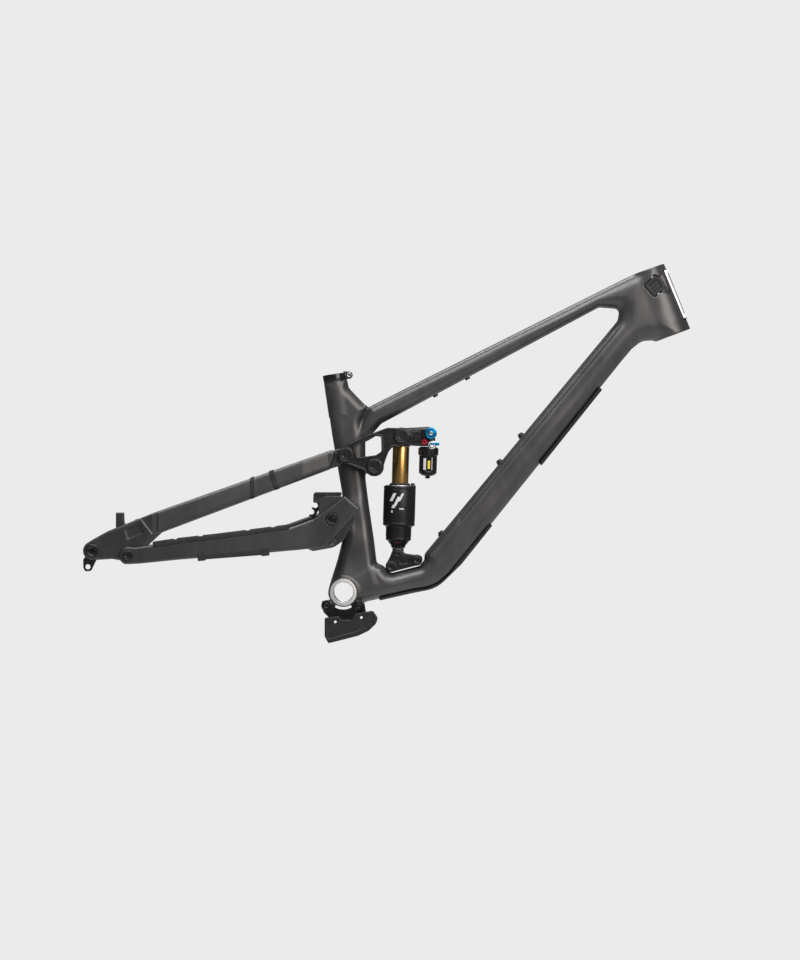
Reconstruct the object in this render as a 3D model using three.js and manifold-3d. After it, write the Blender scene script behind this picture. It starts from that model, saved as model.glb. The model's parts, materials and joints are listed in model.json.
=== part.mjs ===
// A full-suspension mountain-bike frame with its rear linkage, air shock, idler, chain guide and axle.
// Millimetres. Origin at the bottom bracket's centre, +X forward, +Y to the left side, +Z up.
// The drive side, with the idler and the derailleur hanger, is the right side, at -Y.
import * as THREE from "three";
import { mergeVertices } from "three/addons/utils/BufferGeometryUtils.js";
import Module from "manifold-3d";

const wasm = await Module();
wasm.setup();

// ---------------------------------------------------------------- driving dimensions

const GAP = 0.3; // between pieces that touch
const RUNNING = 0.4; // radial clearance of what turns or slides
const RIGHT = -1;
const LEFT = 1;

// Pivots of the rear linkage, as [x, z] in the side plane.
const MAIN_PIVOT = [-20, 127.5];
const HORST_PIVOT = [-370.6, 64.8];
const REAR_AXLE = [-432.5, 73];
const STAY_PIVOT = [3.7, 238.3];
const ROCKER_PIVOT = [53.7, 218.3];
const SHOCK_TOP = [100.9, 271.1];
const SHOCK_BOTTOM = [94.8, 66.2];

const BB_WIDTH = 73;
const BB_RADIUS = 22.6;
const BB_BORE = 17;
const HUB_HALF_WIDTH = 74;
const SEATPOST_RADIUS = 15.8;
const SEAT_TUBE_RADIUS = 19.3;
const SEAT_TUBE_TOP = [-14.3, 368.4];
const SEAT_TUBE_LEAN = 8.6;
const SEAT_BORE_DEPTH = 185;
const HEAD_TOP = [534.1, 564.6];
const HEAD_BOTTOM = [576.7, 448.6];
const HEAD_TOP_RADIUS = 27;
const HEAD_BOTTOM_RADIUS = 31;
const HEADSET_TOP_BORE = 22;
const HEADSET_BOTTOM_BORE = 28;
const HEADSET_BORE_DEPTH = 20;

const PIVOT_AXLE_RADIUS = 7.5;
const MAIN_BOSS = { radius: 17, half: 34 };
const ROCKER_BOSS = { radius: 16.6, half: 31.2 };
const ROCKER_PLATE = { inner: 32, outer: 42 };
const STAY_TONGUE = { inner: 24, outer: 31.4 };
const IDLER_TEETH = 18;
const CHAIN_PITCH = 12.7;
const IDLER_WIDTH = { near: -54, far: -46 };
const MAIN_PLATE = { near: -72, far: -60 };
const LEFT_ARM = { near: 39, far: 53 };
const SHAFT_RADIUS = 14.5;
const CAN_RADIUS = 27.9;

// ---------------------------------------------------------------- materials

function finish(color, roughness, metalness) {
  return new THREE.MeshStandardMaterial({ color, roughness, metalness });
}

const MATERIALS = {
  carbon: finish(0x393a3c, 0.45, 0),
  satinBlack: finish(0x1d1e20, 0.5, 0.3),
  rubber: finish(0x141414, 0.85, 0),
  plastic: finish(0x1b1b1c, 0.6, 0),
  steel: finish(0xb9bcc0, 0.3, 1),
  aluminium: finish(0xc8cacc, 0.35, 1),
  gold: finish(0xb98b3e, 0.22, 1),
  blue: finish(0x1b83b8, 0.3, 0.8),
  red: finish(0xa31f2c, 0.3, 0.8),
};

// ---------------------------------------------------------------- solids

// A closed geometry as a manifold solid, with its faces turned outward.
function solidOf(geometry) {
  const bare = new THREE.BufferGeometry();
  bare.setAttribute("position", geometry.getAttribute("position"));
  bare.setIndex(geometry.index);
  const merged = mergeVertices(bare, 1e-4);
  const corners = merged.index.array;
  const kept = [];
  for (let i = 0; i < corners.length; i += 3) {
    const [a, b, c] = corners.slice(i, i + 3);
    if (a !== b && b !== c && c !== a) kept.push(a, b, c);
  }
  const build = (indices) =>
    new wasm.Manifold(
      new wasm.Mesh({
        numProp: 3,
        vertProperties: merged.attributes.position.array,
        triVerts: new Uint32Array(indices),
      }),
    );
  const made = build(kept);
  return made.volume() > 0 ? made : build(kept.reverse());
}

function geometryOf(solid) {
  const mesh = solid.getMesh();
  const points = new Float32Array(mesh.numVert * 3);
  for (let i = 0; i < mesh.numVert; i++) {
    const from = i * mesh.numProp;
    points.set(mesh.vertProperties.subarray(from, from + 3), i * 3);
  }
  const geometry = new THREE.BufferGeometry();
  geometry.setAttribute("position", new THREE.BufferAttribute(points, 3));
  geometry.setIndex(new THREE.BufferAttribute(mesh.triVerts, 1));
  const faceted = geometry.toNonIndexed();
  faceted.computeVertexNormals();
  return faceted;
}

function join(first, ...others) {
  return others.reduce((whole, part) => whole.add(part), first);
}

function cut(body, ...tools) {
  return tools.reduce((whole, tool) => whole.subtract(tool), body);
}

// ---------------------------------------------------------------- outlines in the side plane

const DEG = Math.PI / 180;

// Two distances from the middle plane, on one side of the frame, as y values in rising order.
function facesOn(side, inner, outer) {
  return [side * inner, side * outer].sort((a, b) => a - b);
}

function polar([x, z], radius, degrees) {
  return [x + radius * Math.cos(degrees * DEG), z + radius * Math.sin(degrees * DEG)];
}

// Points of an arc about a centre, from one angle to another.
function arc(centre, radius, from, to, steps = 8) {
  return Array.from({ length: steps + 1 }, (_, i) =>
    polar(centre, radius, from + ((to - from) * i) / steps),
  );
}

// One corner [x, z, radius] of a closed outline as the points of its round.
function roundedCorner(before, [x, z, radius = 0], after) {
  const point = new THREE.Vector2(x, z);
  const back = new THREE.Vector2(before[0], before[1]).sub(point);
  const ahead = new THREE.Vector2(after[0], after[1]).sub(point);
  const half = Math.abs(back.angleTo(ahead)) / 2;
  if (!radius || half > 89 * DEG) return [point];
  const reach = Math.min(radius / Math.tan(half), 0.49 * back.length(), 0.49 * ahead.length());
  const start = point.clone().addScaledVector(back.normalize(), reach);
  const end = point.clone().addScaledVector(ahead.normalize(), reach);
  const turn = 180 - (2 * half) / DEG;
  const steps = Math.max(2, Math.ceil(turn / 28));
  return new THREE.QuadraticBezierCurve(start, point, end).getPoints(steps);
}

// A closed outline through corners. Long straight stretches are split, and bowed a hair, because
// the triangulation of a face drops points that lie exactly on a line.
const BOW = 0.05;

function outline(corners, longest = 70) {
  const points = corners.flatMap((corner, i) =>
    roundedCorner(
      corners.at(i - 1),
      corner,
      corners[(i + 1) % corners.length],
    ),
  );
  return points.flatMap((point, i) => {
    const next = points[(i + 1) % points.length];
    const run = next.clone().sub(point);
    const count = Math.max(1, Math.ceil(run.length() / longest));
    const normal = new THREE.Vector2(run.y, -run.x).normalize();
    return Array.from({ length: count }, (_, k) => {
      const t = k / count;
      const bow = BOW * 4 * t * (1 - t);
      return point.clone().lerp(next, t).addScaledVector(normal, bow);
    });
  });
}

// An outline extruded across the frame, its edges rounded, for y from -1 to 1.
function unitSlab(corners, holes, edge, steps, longest) {
  const points = outline(corners, longest);
  if (THREE.ShapeUtils.isClockWise(points)) points.reverse();
  const shape = new THREE.Shape(points);
  shape.holes = holes.map((hole) => new THREE.Path(outline(hole, longest)));
  const thickness = edge ? 0.35 : 0;
  const geometry = new THREE.ExtrudeGeometry(shape, {
    depth: 2 - 2 * thickness,
    bevelEnabled: edge > 0,
    bevelThickness: thickness,
    bevelSize: edge,
    bevelOffset: -edge,
    bevelSegments: steps,
  });
  geometry.rotateX(Math.PI / 2);
  geometry.translate(0, 1 - thickness, 0);
  return geometry;
}

// A moulded body: the outline, with its middle and half width read at each point.
function moulded(corners, { middle, half, edge = 6, steps = 3, holes = [], longest = 60 }) {
  const geometry = unitSlab(corners, holes, edge, steps, longest);
  const spots = geometry.getAttribute("position");
  for (let i = 0; i < spots.count; i++) {
    const x = spots.getX(i);
    const z = spots.getZ(i);
    spots.setY(i, middle(x, z) + spots.getY(i) * half(x, z));
  }
  return solidOf(geometry);
}

// A flat plate between two y values, with a small rounded edge.
function plate(corners, near, far, { edge = 0, holes = [] } = {}) {
  const middle = () => (near + far) / 2;
  const half = () => (far - near) / 2;
  return moulded(corners, { middle, half, edge, steps: 1, holes, longest: 400 });
}

// A turned geometry, with more sides on a larger radius.
function turnedGeometry(profile) {
  const points = profile.map(([radius, along]) => new THREE.Vector2(radius, along));
  const largest = Math.max(...profile.map(([radius]) => radius));
  const sides = 2 * Math.round(2 + 2 * Math.sqrt(largest));
  return new THREE.LatheGeometry(points, sides);
}

// A solid turned about the Y axis at [x, z] from a profile of [radius, y].
function turned([x, z], profile) {
  const geometry = turnedGeometry(profile);
  geometry.translate(x, 0, z);
  return solidOf(geometry);
}

function disc(centre, radius, near, far) {
  return turned(centre, [[0, near], [radius, near], [radius, far], [0, far]]);
}

function ring(centre, inner, outer, near, far) {
  const profile = [[inner, near], [outer, near], [outer, far], [inner, far], [inner, near]];
  return turned(centre, profile);
}

// The same about a line in the side plane, from a profile of [radius, distance along it].
function turnedAlong([x, z], degreesFromVertical, profile) {
  const geometry = turnedGeometry(profile);
  geometry.rotateX(Math.PI / 2);
  geometry.rotateY(degreesFromVertical * DEG);
  geometry.translate(x, 0, z);
  return solidOf(geometry);
}

// A block with its middle at [x, y, z], tilted in the side plane.
function block([x, y, z], [width, depth, height], tilt = 0) {
  const geometry = new THREE.BoxGeometry(width, depth, height);
  geometry.rotateY(tilt * DEG);
  geometry.translate(x, y, z);
  return solidOf(geometry);
}

// A bolt across the frame: a round head outside and a shank inward of it.
function crossBolt(centre, side, { head, headRadius, tip, shankRadius, headHeight = 3 }) {
  const seat = head - headHeight;
  const profile = [
    [0, side * tip],
    [shankRadius, side * tip],
    [shankRadius, side * seat],
    [headRadius, side * seat],
    [headRadius, side * (head - 0.8)],
    [headRadius - 0.8, side * head],
    [0, side * head],
  ];
  return turned(centre, profile);
}

// A smooth value from a few [x, z, value] stations, by inverse distance.
function fieldOf(stations, power = 3) {
  return (x, z) => {
    let sum = 0;
    let weights = 0;
    for (const [sx, sz, value] of stations) {
      const weight = 1 / (Math.hypot(x - sx, z - sz) + 4) ** power;
      sum += weight * value;
      weights += weight;
    }
    return sum / weights;
  };
}

// A value from [x, value] stations in falling x, straight between them.
function alongX(stations) {
  return (x) => {
    const after = stations.findIndex(([sx]) => x >= sx);
    if (after === 0) return stations[0][1];
    if (after < 0) return stations.at(-1)[1];
    const [x0, v0] = stations[after - 1];
    const [x1, v1] = stations[after];
    return v0 + ((v1 - v0) * (x - x0)) / (x1 - x0);
  };
}

// ---------------------------------------------------------------- front triangle

const SEAT_LEAN = -SEAT_TUBE_LEAN;
const HEAD_RISE = [HEAD_TOP[0] - HEAD_BOTTOM[0], HEAD_TOP[1] - HEAD_BOTTOM[1]];
const HEAD_LENGTH = Math.hypot(...HEAD_RISE);
const HEAD_LEAN = Math.atan2(HEAD_RISE[0], HEAD_RISE[1]) / DEG;

const FRONT_HALF_WIDTH = fieldOf([
  [0, 0, 34],
  [60, 5, 33],
  [130, 35, 31],
  [200, 95, 30],
  [340, 260, 29],
  [470, 430, 28],
  [560, 540, 26],
  [570, 460, 30],
  [430, 520, 22],
  [300, 430, 21],
  [100, 325, 20],
  [-14, 360, 19.3],
  [0, 300, 19.5],
  [10, 240, 20],
  [45, 270, 20],
  [20, 185, 22],
  [20, 140, 26],
  [25, 70, 30],
]);

const FRONT_OUTLINE = [
  [-33.2, 365.2],
  [4.6, 371],
  [8.5, 357, 8],
  [35.6, 328.6, 8],
  [44, 322.6, 9],
  [58, 330, 8],
  [497, 550.2, 40],
  [524, 560.6],
  [541.6, 567],
  [584.2, 451.6],
  [547.7, 439.6, 8],
  [521, 438.4, 25],
  [503, 424, 25],
  [483, 400],
  [203.4, 50.3, 60],
  [161, 9, 60],
  [119.5, 1, 40],
  [35.6, -18, 30],
  [16, -24, 14],
  [-14, -25, 16],
  [-27, -6, 14],
  [-22, 20, 12],
  [-10.8, 55.6, 30],
  [-1.6, 92, 30],
  [0, 140, 40],
  [-2.9, 174.4, 30],
  [-20.4, 275.8, 60],
];

const MAIN_OPENING = [
  [446, 497, 12],
  [482, 494, 14],
  [479, 474, 14],
  [189, 123.7, 60],
  [141, 66, 14],
  [141, 56, 6],
  [133, 45.4, 6],
  [82, 32.4, 9],
  [69, 46, 8],
  [55, 52, 10],
  [53, 92, 30],
  [44, 152, 40],
  [38.4, 196, 14],
  [39.5, 262, 20],
  [66, 294, 18],
  [100, 312, 30],
];

// The head tube's own round body and its stepped bore.
function headTube() {
  return turnedAlong(HEAD_BOTTOM, HEAD_LEAN, [
    [0, 0],
    [HEAD_BOTTOM_RADIUS, 0],
    [HEAD_TOP_RADIUS, HEAD_LENGTH],
    [0, HEAD_LENGTH],
  ]);
}

function headBore() {
  const top = HEAD_LENGTH - HEADSET_BORE_DEPTH;
  return turnedAlong(HEAD_BOTTOM, HEAD_LEAN, [
    [0, -5],
    [HEADSET_BOTTOM_BORE, -5],
    [HEADSET_BOTTOM_BORE, HEADSET_BORE_DEPTH],
    [HEADSET_BOTTOM_BORE - 3, HEADSET_BORE_DEPTH],
    [HEADSET_TOP_BORE - 1, top],
    [HEADSET_TOP_BORE, top],
    [HEADSET_TOP_BORE, HEAD_LENGTH + 5],
    [0, HEAD_LENGTH + 5],
  ]);
}

const CLAMP_NECK = 10;

function seatNeck() {
  return turnedAlong(SEAT_TUBE_TOP, SEAT_LEAN, [
    [0, -60],
    [SEAT_TUBE_RADIUS, -60],
    [SEAT_TUBE_RADIUS, 0],
    [SEATPOST_RADIUS + 1.8, 0],
    [SEATPOST_RADIUS + 1.8, CLAMP_NECK],
    [0, CLAMP_NECK],
  ]);
}

function seatBore() {
  return turnedAlong(SEAT_TUBE_TOP, SEAT_LEAN, [
    [0, -SEAT_BORE_DEPTH],
    [SEATPOST_RADIUS, -SEAT_BORE_DEPTH],
    [SEATPOST_RADIUS, CLAMP_NECK + 5],
    [0, CLAMP_NECK + 5],
  ]);
}

// The hollow inside a tube, from one point of the side plane to another.
function tubeHollow(from, to, fromSize, toSize) {
  const run = [to[0] - from[0], to[1] - from[1]];
  const length = Math.hypot(...run);
  const geometry = new THREE.CylinderGeometry(1, fromSize[0] / toSize[0], length, 12);
  geometry.scale(toSize[0], 1, toSize[1]);
  geometry.translate(0, length / 2, 0);
  geometry.rotateX(Math.PI / 2);
  geometry.rotateY(Math.atan2(run[0], run[1]));
  geometry.translate(from[0], 0, from[1]);
  return solidOf(geometry);
}

const GUIDE_BOLTS = [
  [-29.1, -23.3],
  [27.6, -24.1],
];
const GUIDE_TAB = { near: -34, far: -24 };
const GUIDE_FLANGE = [
  [-34, -16],
  [-10, -10],
  [14, -10],
  [32, -17],
  [24, -30, 4],
  [-26, -30, 4],
];
const BOTTLE_BOLTS = [
  { at: [171.4, 101.4], radius: 6 },
  { at: [273, 226.2], radius: 4.6 },
  { at: [310.5, 272.6], radius: 4.6 },
];
const DOWN_TUBE_TILT = 50.2;

function bottleBoltHole({ at }) {
  return turnedAlong(at, DOWN_TUBE_TILT - 90, [
    [0, -14],
    [2.9, -14],
    [2.9, 12],
    [0, 12],
  ]);
}

const PORT = [
  [522, 533.5, 3],
  [541, 553, 3],
  [556, 545, 4],
  [561, 528, 4],
  [541, 512.5, 3],
];
const PORT_DEPTH = 22.5;

function portRecess(side) {
  return plate(PORT, ...facesOn(side, PORT_DEPTH, 40));
}

const MAIN_BOSS_WEB = [
  [-20, 144, 2],
  [14, 150],
  [14, 104],
  [-20, 111, 2],
];

// The whole front frame: its moulded plate with the bosses, necks, bores and hollow tubes.
function frontTriangle() {
  const body = moulded(FRONT_OUTLINE, {
    middle: () => 0,
    half: FRONT_HALF_WIDTH,
    edge: 4,
    steps: 1,
    holes: [MAIN_OPENING],
  });
  const bosses = [
    disc(MAIN_PIVOT, MAIN_BOSS.radius, -MAIN_BOSS.half, MAIN_BOSS.half),
    plate(MAIN_BOSS_WEB, -24, 24),
    disc(ROCKER_PIVOT, ROCKER_BOSS.radius, -ROCKER_BOSS.half, ROCKER_BOSS.half),
    disc([0, 0], 24.8, -35.2, 35.2),
    headTube(),
    seatNeck(),
    ...GUIDE_BOLTS.map((spot) => disc(spot, 8, GUIDE_TAB.near, GUIDE_TAB.far)),
    plate(GUIDE_FLANGE, -33, -24),
  ];
  return cut(
    join(body, ...bosses),
    disc([0, 0], BB_RADIUS + GAP, -60, 60),
    disc(MAIN_PIVOT, PIVOT_AXLE_RADIUS + GAP, -60, 60),
    disc(ROCKER_PIVOT, PIVOT_AXLE_RADIUS - 1 + GAP, -60, 60),
    headBore(),
    seatBore(),
    tubeHollow([186, 72], [532, 506], [20, 22], [22, 22]),
    tubeHollow([120, 334], [528, 530], [12, 14], [17, 16]),
    portRecess(RIGHT),
    portRecess(LEFT),
    ...GUIDE_BOLTS.map((spot) => disc(spot, 3.1, -50, -20)),
    ...BOTTLE_BOLTS.map(bottleBoltHole),
  );
}

// ---------------------------------------------------------------- pieces fixed to the front triangle

function bottomBracketShell() {
  const end = BB_WIDTH / 2;
  const flange = 1;
  return turned([0, 0], [
    [BB_BORE, -end],
    [BB_RADIUS + 0.8, -end],
    [BB_RADIUS + 0.8, -end + flange],
    [BB_RADIUS, -end + flange],
    [BB_RADIUS, end],
    [BB_BORE, end],
    [BB_BORE, -end],
  ]);
}

const CLAMP_BOLT = [9.6, 378.6];

function seatClamp() {
  const band = turnedAlong(SEAT_TUBE_TOP, SEAT_LEAN, [
    [SEATPOST_RADIUS + 1.8 + GAP, 2 * GAP],
    [20.8, 2 * GAP],
    [20.8, 12],
    [SEATPOST_RADIUS + 1.8 + GAP, 12],
    [SEATPOST_RADIUS + 1.8 + GAP, 2 * GAP],
  ]);
  const lug = block([6.5, 0, 377.4], [14, 17, 11], -6);
  const slit = block([10, 0, 377], [24, 1.6, 30], -6);
  const inside = turnedAlong(SEAT_TUBE_TOP, SEAT_LEAN, [
    [0, -5],
    [SEATPOST_RADIUS + 1.8 + GAP, -5],
    [SEATPOST_RADIUS + 1.8 + GAP, 20],
    [0, 20],
  ]);
  return cut(join(band, lug), slit, inside, disc(CLAMP_BOLT, 3.3, -30, 30));
}

function seatClampBolt() {
  return turned(CLAMP_BOLT, [
    [0, -13],
    [4.6, -13],
    [4.6, -8.9],
    [3, -8.9],
    [3, 8],
    [0, 8],
  ]);
}

function headBadge() {
  const curve = { from: HEAD_TOP_RADIUS + GAP + 0.3, to: HEAD_TOP_RADIUS + 2.6 };
  const sleeve = turnedAlong(HEAD_BOTTOM, HEAD_LEAN, [
    [curve.from + 2.9, 30],
    [curve.to + 2.9, 30],
    [curve.to + 0.6, HEAD_LENGTH - 18],
    [curve.from + 0.6, HEAD_LENGTH - 18],
    [curve.from + 2.9, 30],
  ]);
  const middle = [(HEAD_TOP[0] + HEAD_BOTTOM[0]) / 2 + 28, (HEAD_TOP[1] + HEAD_BOTTOM[1]) / 2 + 10];
  return sleeve.intersect(block([middle[0] + 12, 0, middle[1]], [34, 26, 150], HEAD_LEAN));
}

function cablePort(side) {
  const inset = [
    [524, 533.4, 3],
    [541.2, 551, 3],
    [554.6, 543.8, 4],
    [559, 528.6, 4],
    [541.2, 514.8, 3],
  ];
  return plate(inset, ...facesOn(side, PORT_DEPTH + GAP, PORT_DEPTH + 2.6));
}

// The frame's lower edge between two x values.
function lowerEdge(from, to) {
  return outline(FRONT_OUTLINE, 25)
    .filter(({ x, y }) => x > from && x < to && y < x)
    .map(({ x, y }) => [x, y]);
}

// A guard strip: a band outside a stretch of the frame's lower edge.
function guardStrip(from, to, thickness, half) {
  const path = lowerEdge(from, to);
  const offset = (distance) =>
    path.map(([x, z], i) => {
      const [x0, z0] = path[Math.max(0, i - 1)];
      const [x1, z1] = path[Math.min(path.length - 1, i + 1)];
      const length = Math.hypot(x1 - x0, z1 - z0);
      const across = distance / length;
      return [x - (z1 - z0) * across, z + (x1 - x0) * across];
    });
  const corners = [...offset(2 * GAP), ...offset(2 * GAP + thickness).reverse()];
  return plate(corners, -half, half);
}

function bottleBolt({ at, radius }) {
  return turnedAlong(at, DOWN_TUBE_TILT - 90, [
    [0, -12],
    [2.5, -12],
    [2.5, 2],
    [radius, 2],
    [radius, 3.6],
    [radius - 1.6, 5.4],
    [0, 5.4],
  ]);
}

const BACKPLATE = { near: -37.6, far: -34.4 };
const BASH = { near: -51, far: -38 };
const BASH_BOLTS = [
  [-13.8, -51],
  [31.5, -43.5],
];

function chainguideBackplate() {
  const corners = [
    [-38, -15, 4],
    ...arc([0, 0], 25.6, 208, 330, 12),
    [36.5, -16, 6],
    [40, -38, 6],
    [36, -52, 6],
    [24, -50, 5],
    [14, -47, 4],
    [-6, -58, 6],
    [-20, -60, 6],
    [-25, -44, 5],
    [-35, -34, 5],
  ];
  return cut(
    plate(corners, BACKPLATE.near, BACKPLATE.far),
    ...GUIDE_BOLTS.map((spot) => disc(spot, 3.3, -50, -20)),
    ...BASH_BOLTS.map((spot) => disc(spot, 2.6, -50, -20)),
  );
}

function chainguideBolt(spot) {
  return crossBolt(spot, RIGHT, {
    head: 41.4,
    headRadius: 5.4,
    headHeight: 3.4,
    tip: 26,
    shankRadius: 2.8,
  });
}

function bashGuard() {
  const corners = [
    [-32.4, -44, 3],
    [-8.8, -40.7, 3],
    [-2.5, -47, 3],
    [13.8, -47, 4],
    [20.7, -36.2, 4],
    [51.6, -31.5, 5],
    [60.5, -44.7, 8],
    [56.3, -54.8, 8],
    [44, -66.4, 10],
    [26.1, -74.9, 20],
    [5.3, -80.3],
    [-25.8, -88.1, 3],
    [-32.4, -75.8, 3],
  ];
  return cut(
    plate(corners, BASH.near, BASH.far),
    ...BASH_BOLTS.map((spot) => disc(spot, 3.4, -60, -42)),
    ...BASH_BOLTS.map((spot) => disc(spot, 2.4, -60, -30)),
  );
}

const SHOCK_MOUNT_BOLTS = [
  [82.6, 44.3],
  [128.1, 55.5],
];
const MOUNT_EAR = { inner: 12.8, outer: 20 };

function shockMount() {
  const corners = [
    [84.7, 68, 6],
    [75, 50, 6],
    [73.4, 44.6, 5],
    [78, 36.4, 5],
    [86, 35.6, 4],
    [131, 47.2, 5],
    [137.8, 55, 4],
    [137.4, 61.6, 4],
    [131, 63.6, 5],
    [106, 67, 6],
  ];
  const blank = join(
    plate(corners, -MOUNT_EAR.outer, MOUNT_EAR.outer, { edge: 1.2 }),
    disc(SHOCK_BOTTOM, 11, -MOUNT_EAR.outer, MOUNT_EAR.outer),
  );
  return cut(
    blank,
    disc(SHOCK_BOTTOM, 15, -MOUNT_EAR.inner, MOUNT_EAR.inner),
    block([96, 0, 82], [34, 2 * MOUNT_EAR.inner, 34]),
    disc(SHOCK_BOTTOM, 4.3, -40, 40),
    ...SHOCK_MOUNT_BOLTS.map((spot) => disc(spot, 4.3, -40, 40)),
  );
}

function shockMountBolt(spot) {
  return turned(spot, [
    [0, -23.4],
    [6.6, -23.4],
    [7.4, -22.6],
    [7.4, -20.3],
    [4, -20.3],
    [4, 20.3],
    [7, 20.3],
    [7, 23],
    [0, 23],
  ]);
}

function shockEyeletBolt() {
  return turned(SHOCK_BOTTOM, [
    [0, -23],
    [6.2, -23],
    [6.2, -20.3],
    [4, -20.3],
    [4, 22.6],
    [0, 22.6],
  ]);
}

function mainPivotAxle() {
  return turned(MAIN_PIVOT, [
    [0, MAIN_PLATE.near + 1.4],
    [PIVOT_AXLE_RADIUS, MAIN_PLATE.near + 1.4],
    [PIVOT_AXLE_RADIUS, LEFT_ARM.far + 0.6],
    [10.5, LEFT_ARM.far + 0.6],
    [10.5, LEFT_ARM.far + 3.6],
    [0, LEFT_ARM.far + 3.6],
  ]);
}

// The lobed cap that closes the pivot on the drive side.
function mainPivotCap() {
  const lobes = 10;
  const points = Array.from({ length: lobes * 4 }, (_, i) => {
    const degrees = (360 * i) / (lobes * 4);
    return polar(MAIN_PIVOT, 10.3 + 0.7 * Math.cos(lobes * degrees * DEG), degrees);
  });
  return plate(points, MAIN_PLATE.near - 3, MAIN_PLATE.near - GAP);
}

function rockerAxle() {
  const reach = ROCKER_PLATE.outer;
  return turned(ROCKER_PIVOT, [
    [0, -reach - 2.6],
    [11.6, -reach - 2.6],
    [12.6, -reach - 1.6],
    [12.6, -reach - GAP],
    [6.5, -reach - GAP],
    [6.5, reach + GAP],
    [0, reach + GAP],
  ]);
}

function rockerAxleNut() {
  const face = ROCKER_PLATE.outer + 2 * GAP;
  return turned(ROCKER_PIVOT, [
    [0, face],
    [12.6, face],
    [12.6, face + 1.6],
    [11.6, face + 2.6],
    [0, face + 2.6],
  ]);
}

// ---------------------------------------------------------------- idler

const IDLER_PITCH_RADIUS = CHAIN_PITCH / (2 * Math.sin(Math.PI / IDLER_TEETH));

function idlerWheel() {
  const tooth = 360 / IDLER_TEETH;
  const root = IDLER_PITCH_RADIUS - 3.9;
  const tip = IDLER_PITCH_RADIUS + 3.9;
  const corners = Array.from({ length: IDLER_TEETH }, (_, i) => i * tooth).flatMap((degrees) => [
    polar(MAIN_PIVOT, root, degrees),
    polar(MAIN_PIVOT, root + 1.3, degrees + 0.2 * tooth),
    polar(MAIN_PIVOT, tip, degrees + 0.42 * tooth),
    polar(MAIN_PIVOT, tip, degrees + 0.58 * tooth),
    polar(MAIN_PIVOT, root + 1.3, degrees + 0.8 * tooth),
  ]);
  const spokes = 6;
  const windows = Array.from({ length: spokes }, (_, i) => (360 * i) / spokes).map((degrees) => [
    ...arc(MAIN_PIVOT, 27.5, degrees + 10, degrees + 50, 4),
    ...arc(MAIN_PIVOT, 20, degrees + 44, degrees + 16, 3),
  ]);
  const toothed = plate(corners, -51.4, -48.6, { holes: windows });
  const hub = ring(MAIN_PIVOT, 14.3, 18, IDLER_WIDTH.near, IDLER_WIDTH.far);
  return cut(join(toothed, hub), disc(MAIN_PIVOT, 14.3, -70, -30));
}

// ---------------------------------------------------------------- chainstay

const CHAINSTAY_OUTLINE = [
  [29.4, 144.6, 7],
  [3.5, 167.6, 8],
  [-52, 127.4, 20],
  [-91.6, 113.3, 60],
  [-212.5, 97.8],
  [-281.7, 90],
  [-357, 79.2],
  ...arc(HORST_PIVOT, 15.6, 70, 252, 9),
  [-350.8, 51.1, 30],
  [-281.7, 58],
  [-143.4, 68.4, 100],
  [-74.3, 74.6, 60],
  [-30, 79.8, 14],
];

const LEFT_ARM_OUTLINE = [
  ...arc(MAIN_PIVOT, 19, -50, 80, 7),
  [-60, 132, 20],
  [-110, 114, 60],
  [-212.5, 97.8],
  [-357, 79.2],
  ...arc(HORST_PIVOT, 15.6, 70, 252, 9),
  [-350.8, 51.1, 30],
  [-281.7, 58],
  [-143.4, 68.4, 100],
  [-74.3, 76, 60],
  [-30, 84, 14],
];

const RIGHT_ARM_MIDDLE = alongX([
  [-50, 66],
  [-110, 68],
  [-200, 75],
  [-300, 83],
  [-345, 87.7],
]);
const LEFT_ARM_MIDDLE = alongX([
  [-50, 46],
  [-110, 54],
  [-200, 67],
  [-300, 81],
  [-345, 87.7],
]);
const RIGHT_ARM_HALF = alongX([
  [-60, 6],
  [-110, 9],
  [-200, 9.5],
  [-300, 8],
  [-345, 4.3],
]);
const LEFT_ARM_HALF = alongX([
  [-60, 7],
  [-110, 9],
  [-200, 9.5],
  [-300, 8],
  [-345, 4.3],
]);

const HORST_EAR_RADIUS = 22;
const HORST_EAR_FACE = 83.3;

const YOKE = [
  [-60, 78, 4],
  [-59, 103, 6],
  [-34, 105, 6],
  [-12, 97, 5],
  [-9.5, 88, 4],
  [-16, 79, 4],
  [-52, 73, 4],
];
const YOKE_LOW = [
  [-60, 76, 3],
  [-56, 85.4, 3],
  [-22, 85.4, 3],
  [-18, 80, 3],
  [-52, 73, 4],
];

function chainstay() {
  const right = moulded(CHAINSTAY_OUTLINE, {
    middle: (x) => -RIGHT_ARM_MIDDLE(x),
    half: (x) => RIGHT_ARM_HALF(x),
    edge: 3,
    steps: 1,
    longest: 45,
  });
  const left = moulded(LEFT_ARM_OUTLINE, {
    middle: (x) => LEFT_ARM_MIDDLE(x),
    half: (x) => LEFT_ARM_HALF(x),
    edge: 3,
    steps: 1,
    longest: 45,
  });
  const bodies = [
    left,
    plate(YOKE, -40, LEFT_ARM.near + 4, { edge: 2 }),
    plate(YOKE_LOW, MAIN_PLATE.far - 4, -30, { edge: 1 }),
  ];
  const bearing = MAIN_BEARING_RADIUS + GAP;
  return cut(
    join(right, ...bodies),
    disc(MAIN_PIVOT, bearing, MAIN_PLATE.near + 3, -30),
    disc(MAIN_PIVOT, 11, -90, -60),
    disc(MAIN_PIVOT, bearing, 30, LEFT_ARM.far - 3),
    disc(MAIN_PIVOT, 11.2, 30, 80),
    disc(HORST_PIVOT, 4.3, -120, 120),
    disc(HORST_PIVOT, HORST_EAR_RADIUS, -HORST_EAR_FACE, -60),
    disc(HORST_PIVOT, HORST_EAR_RADIUS, 60, HORST_EAR_FACE),
  );
}

const MAIN_BEARING_RADIUS = 14;

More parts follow.
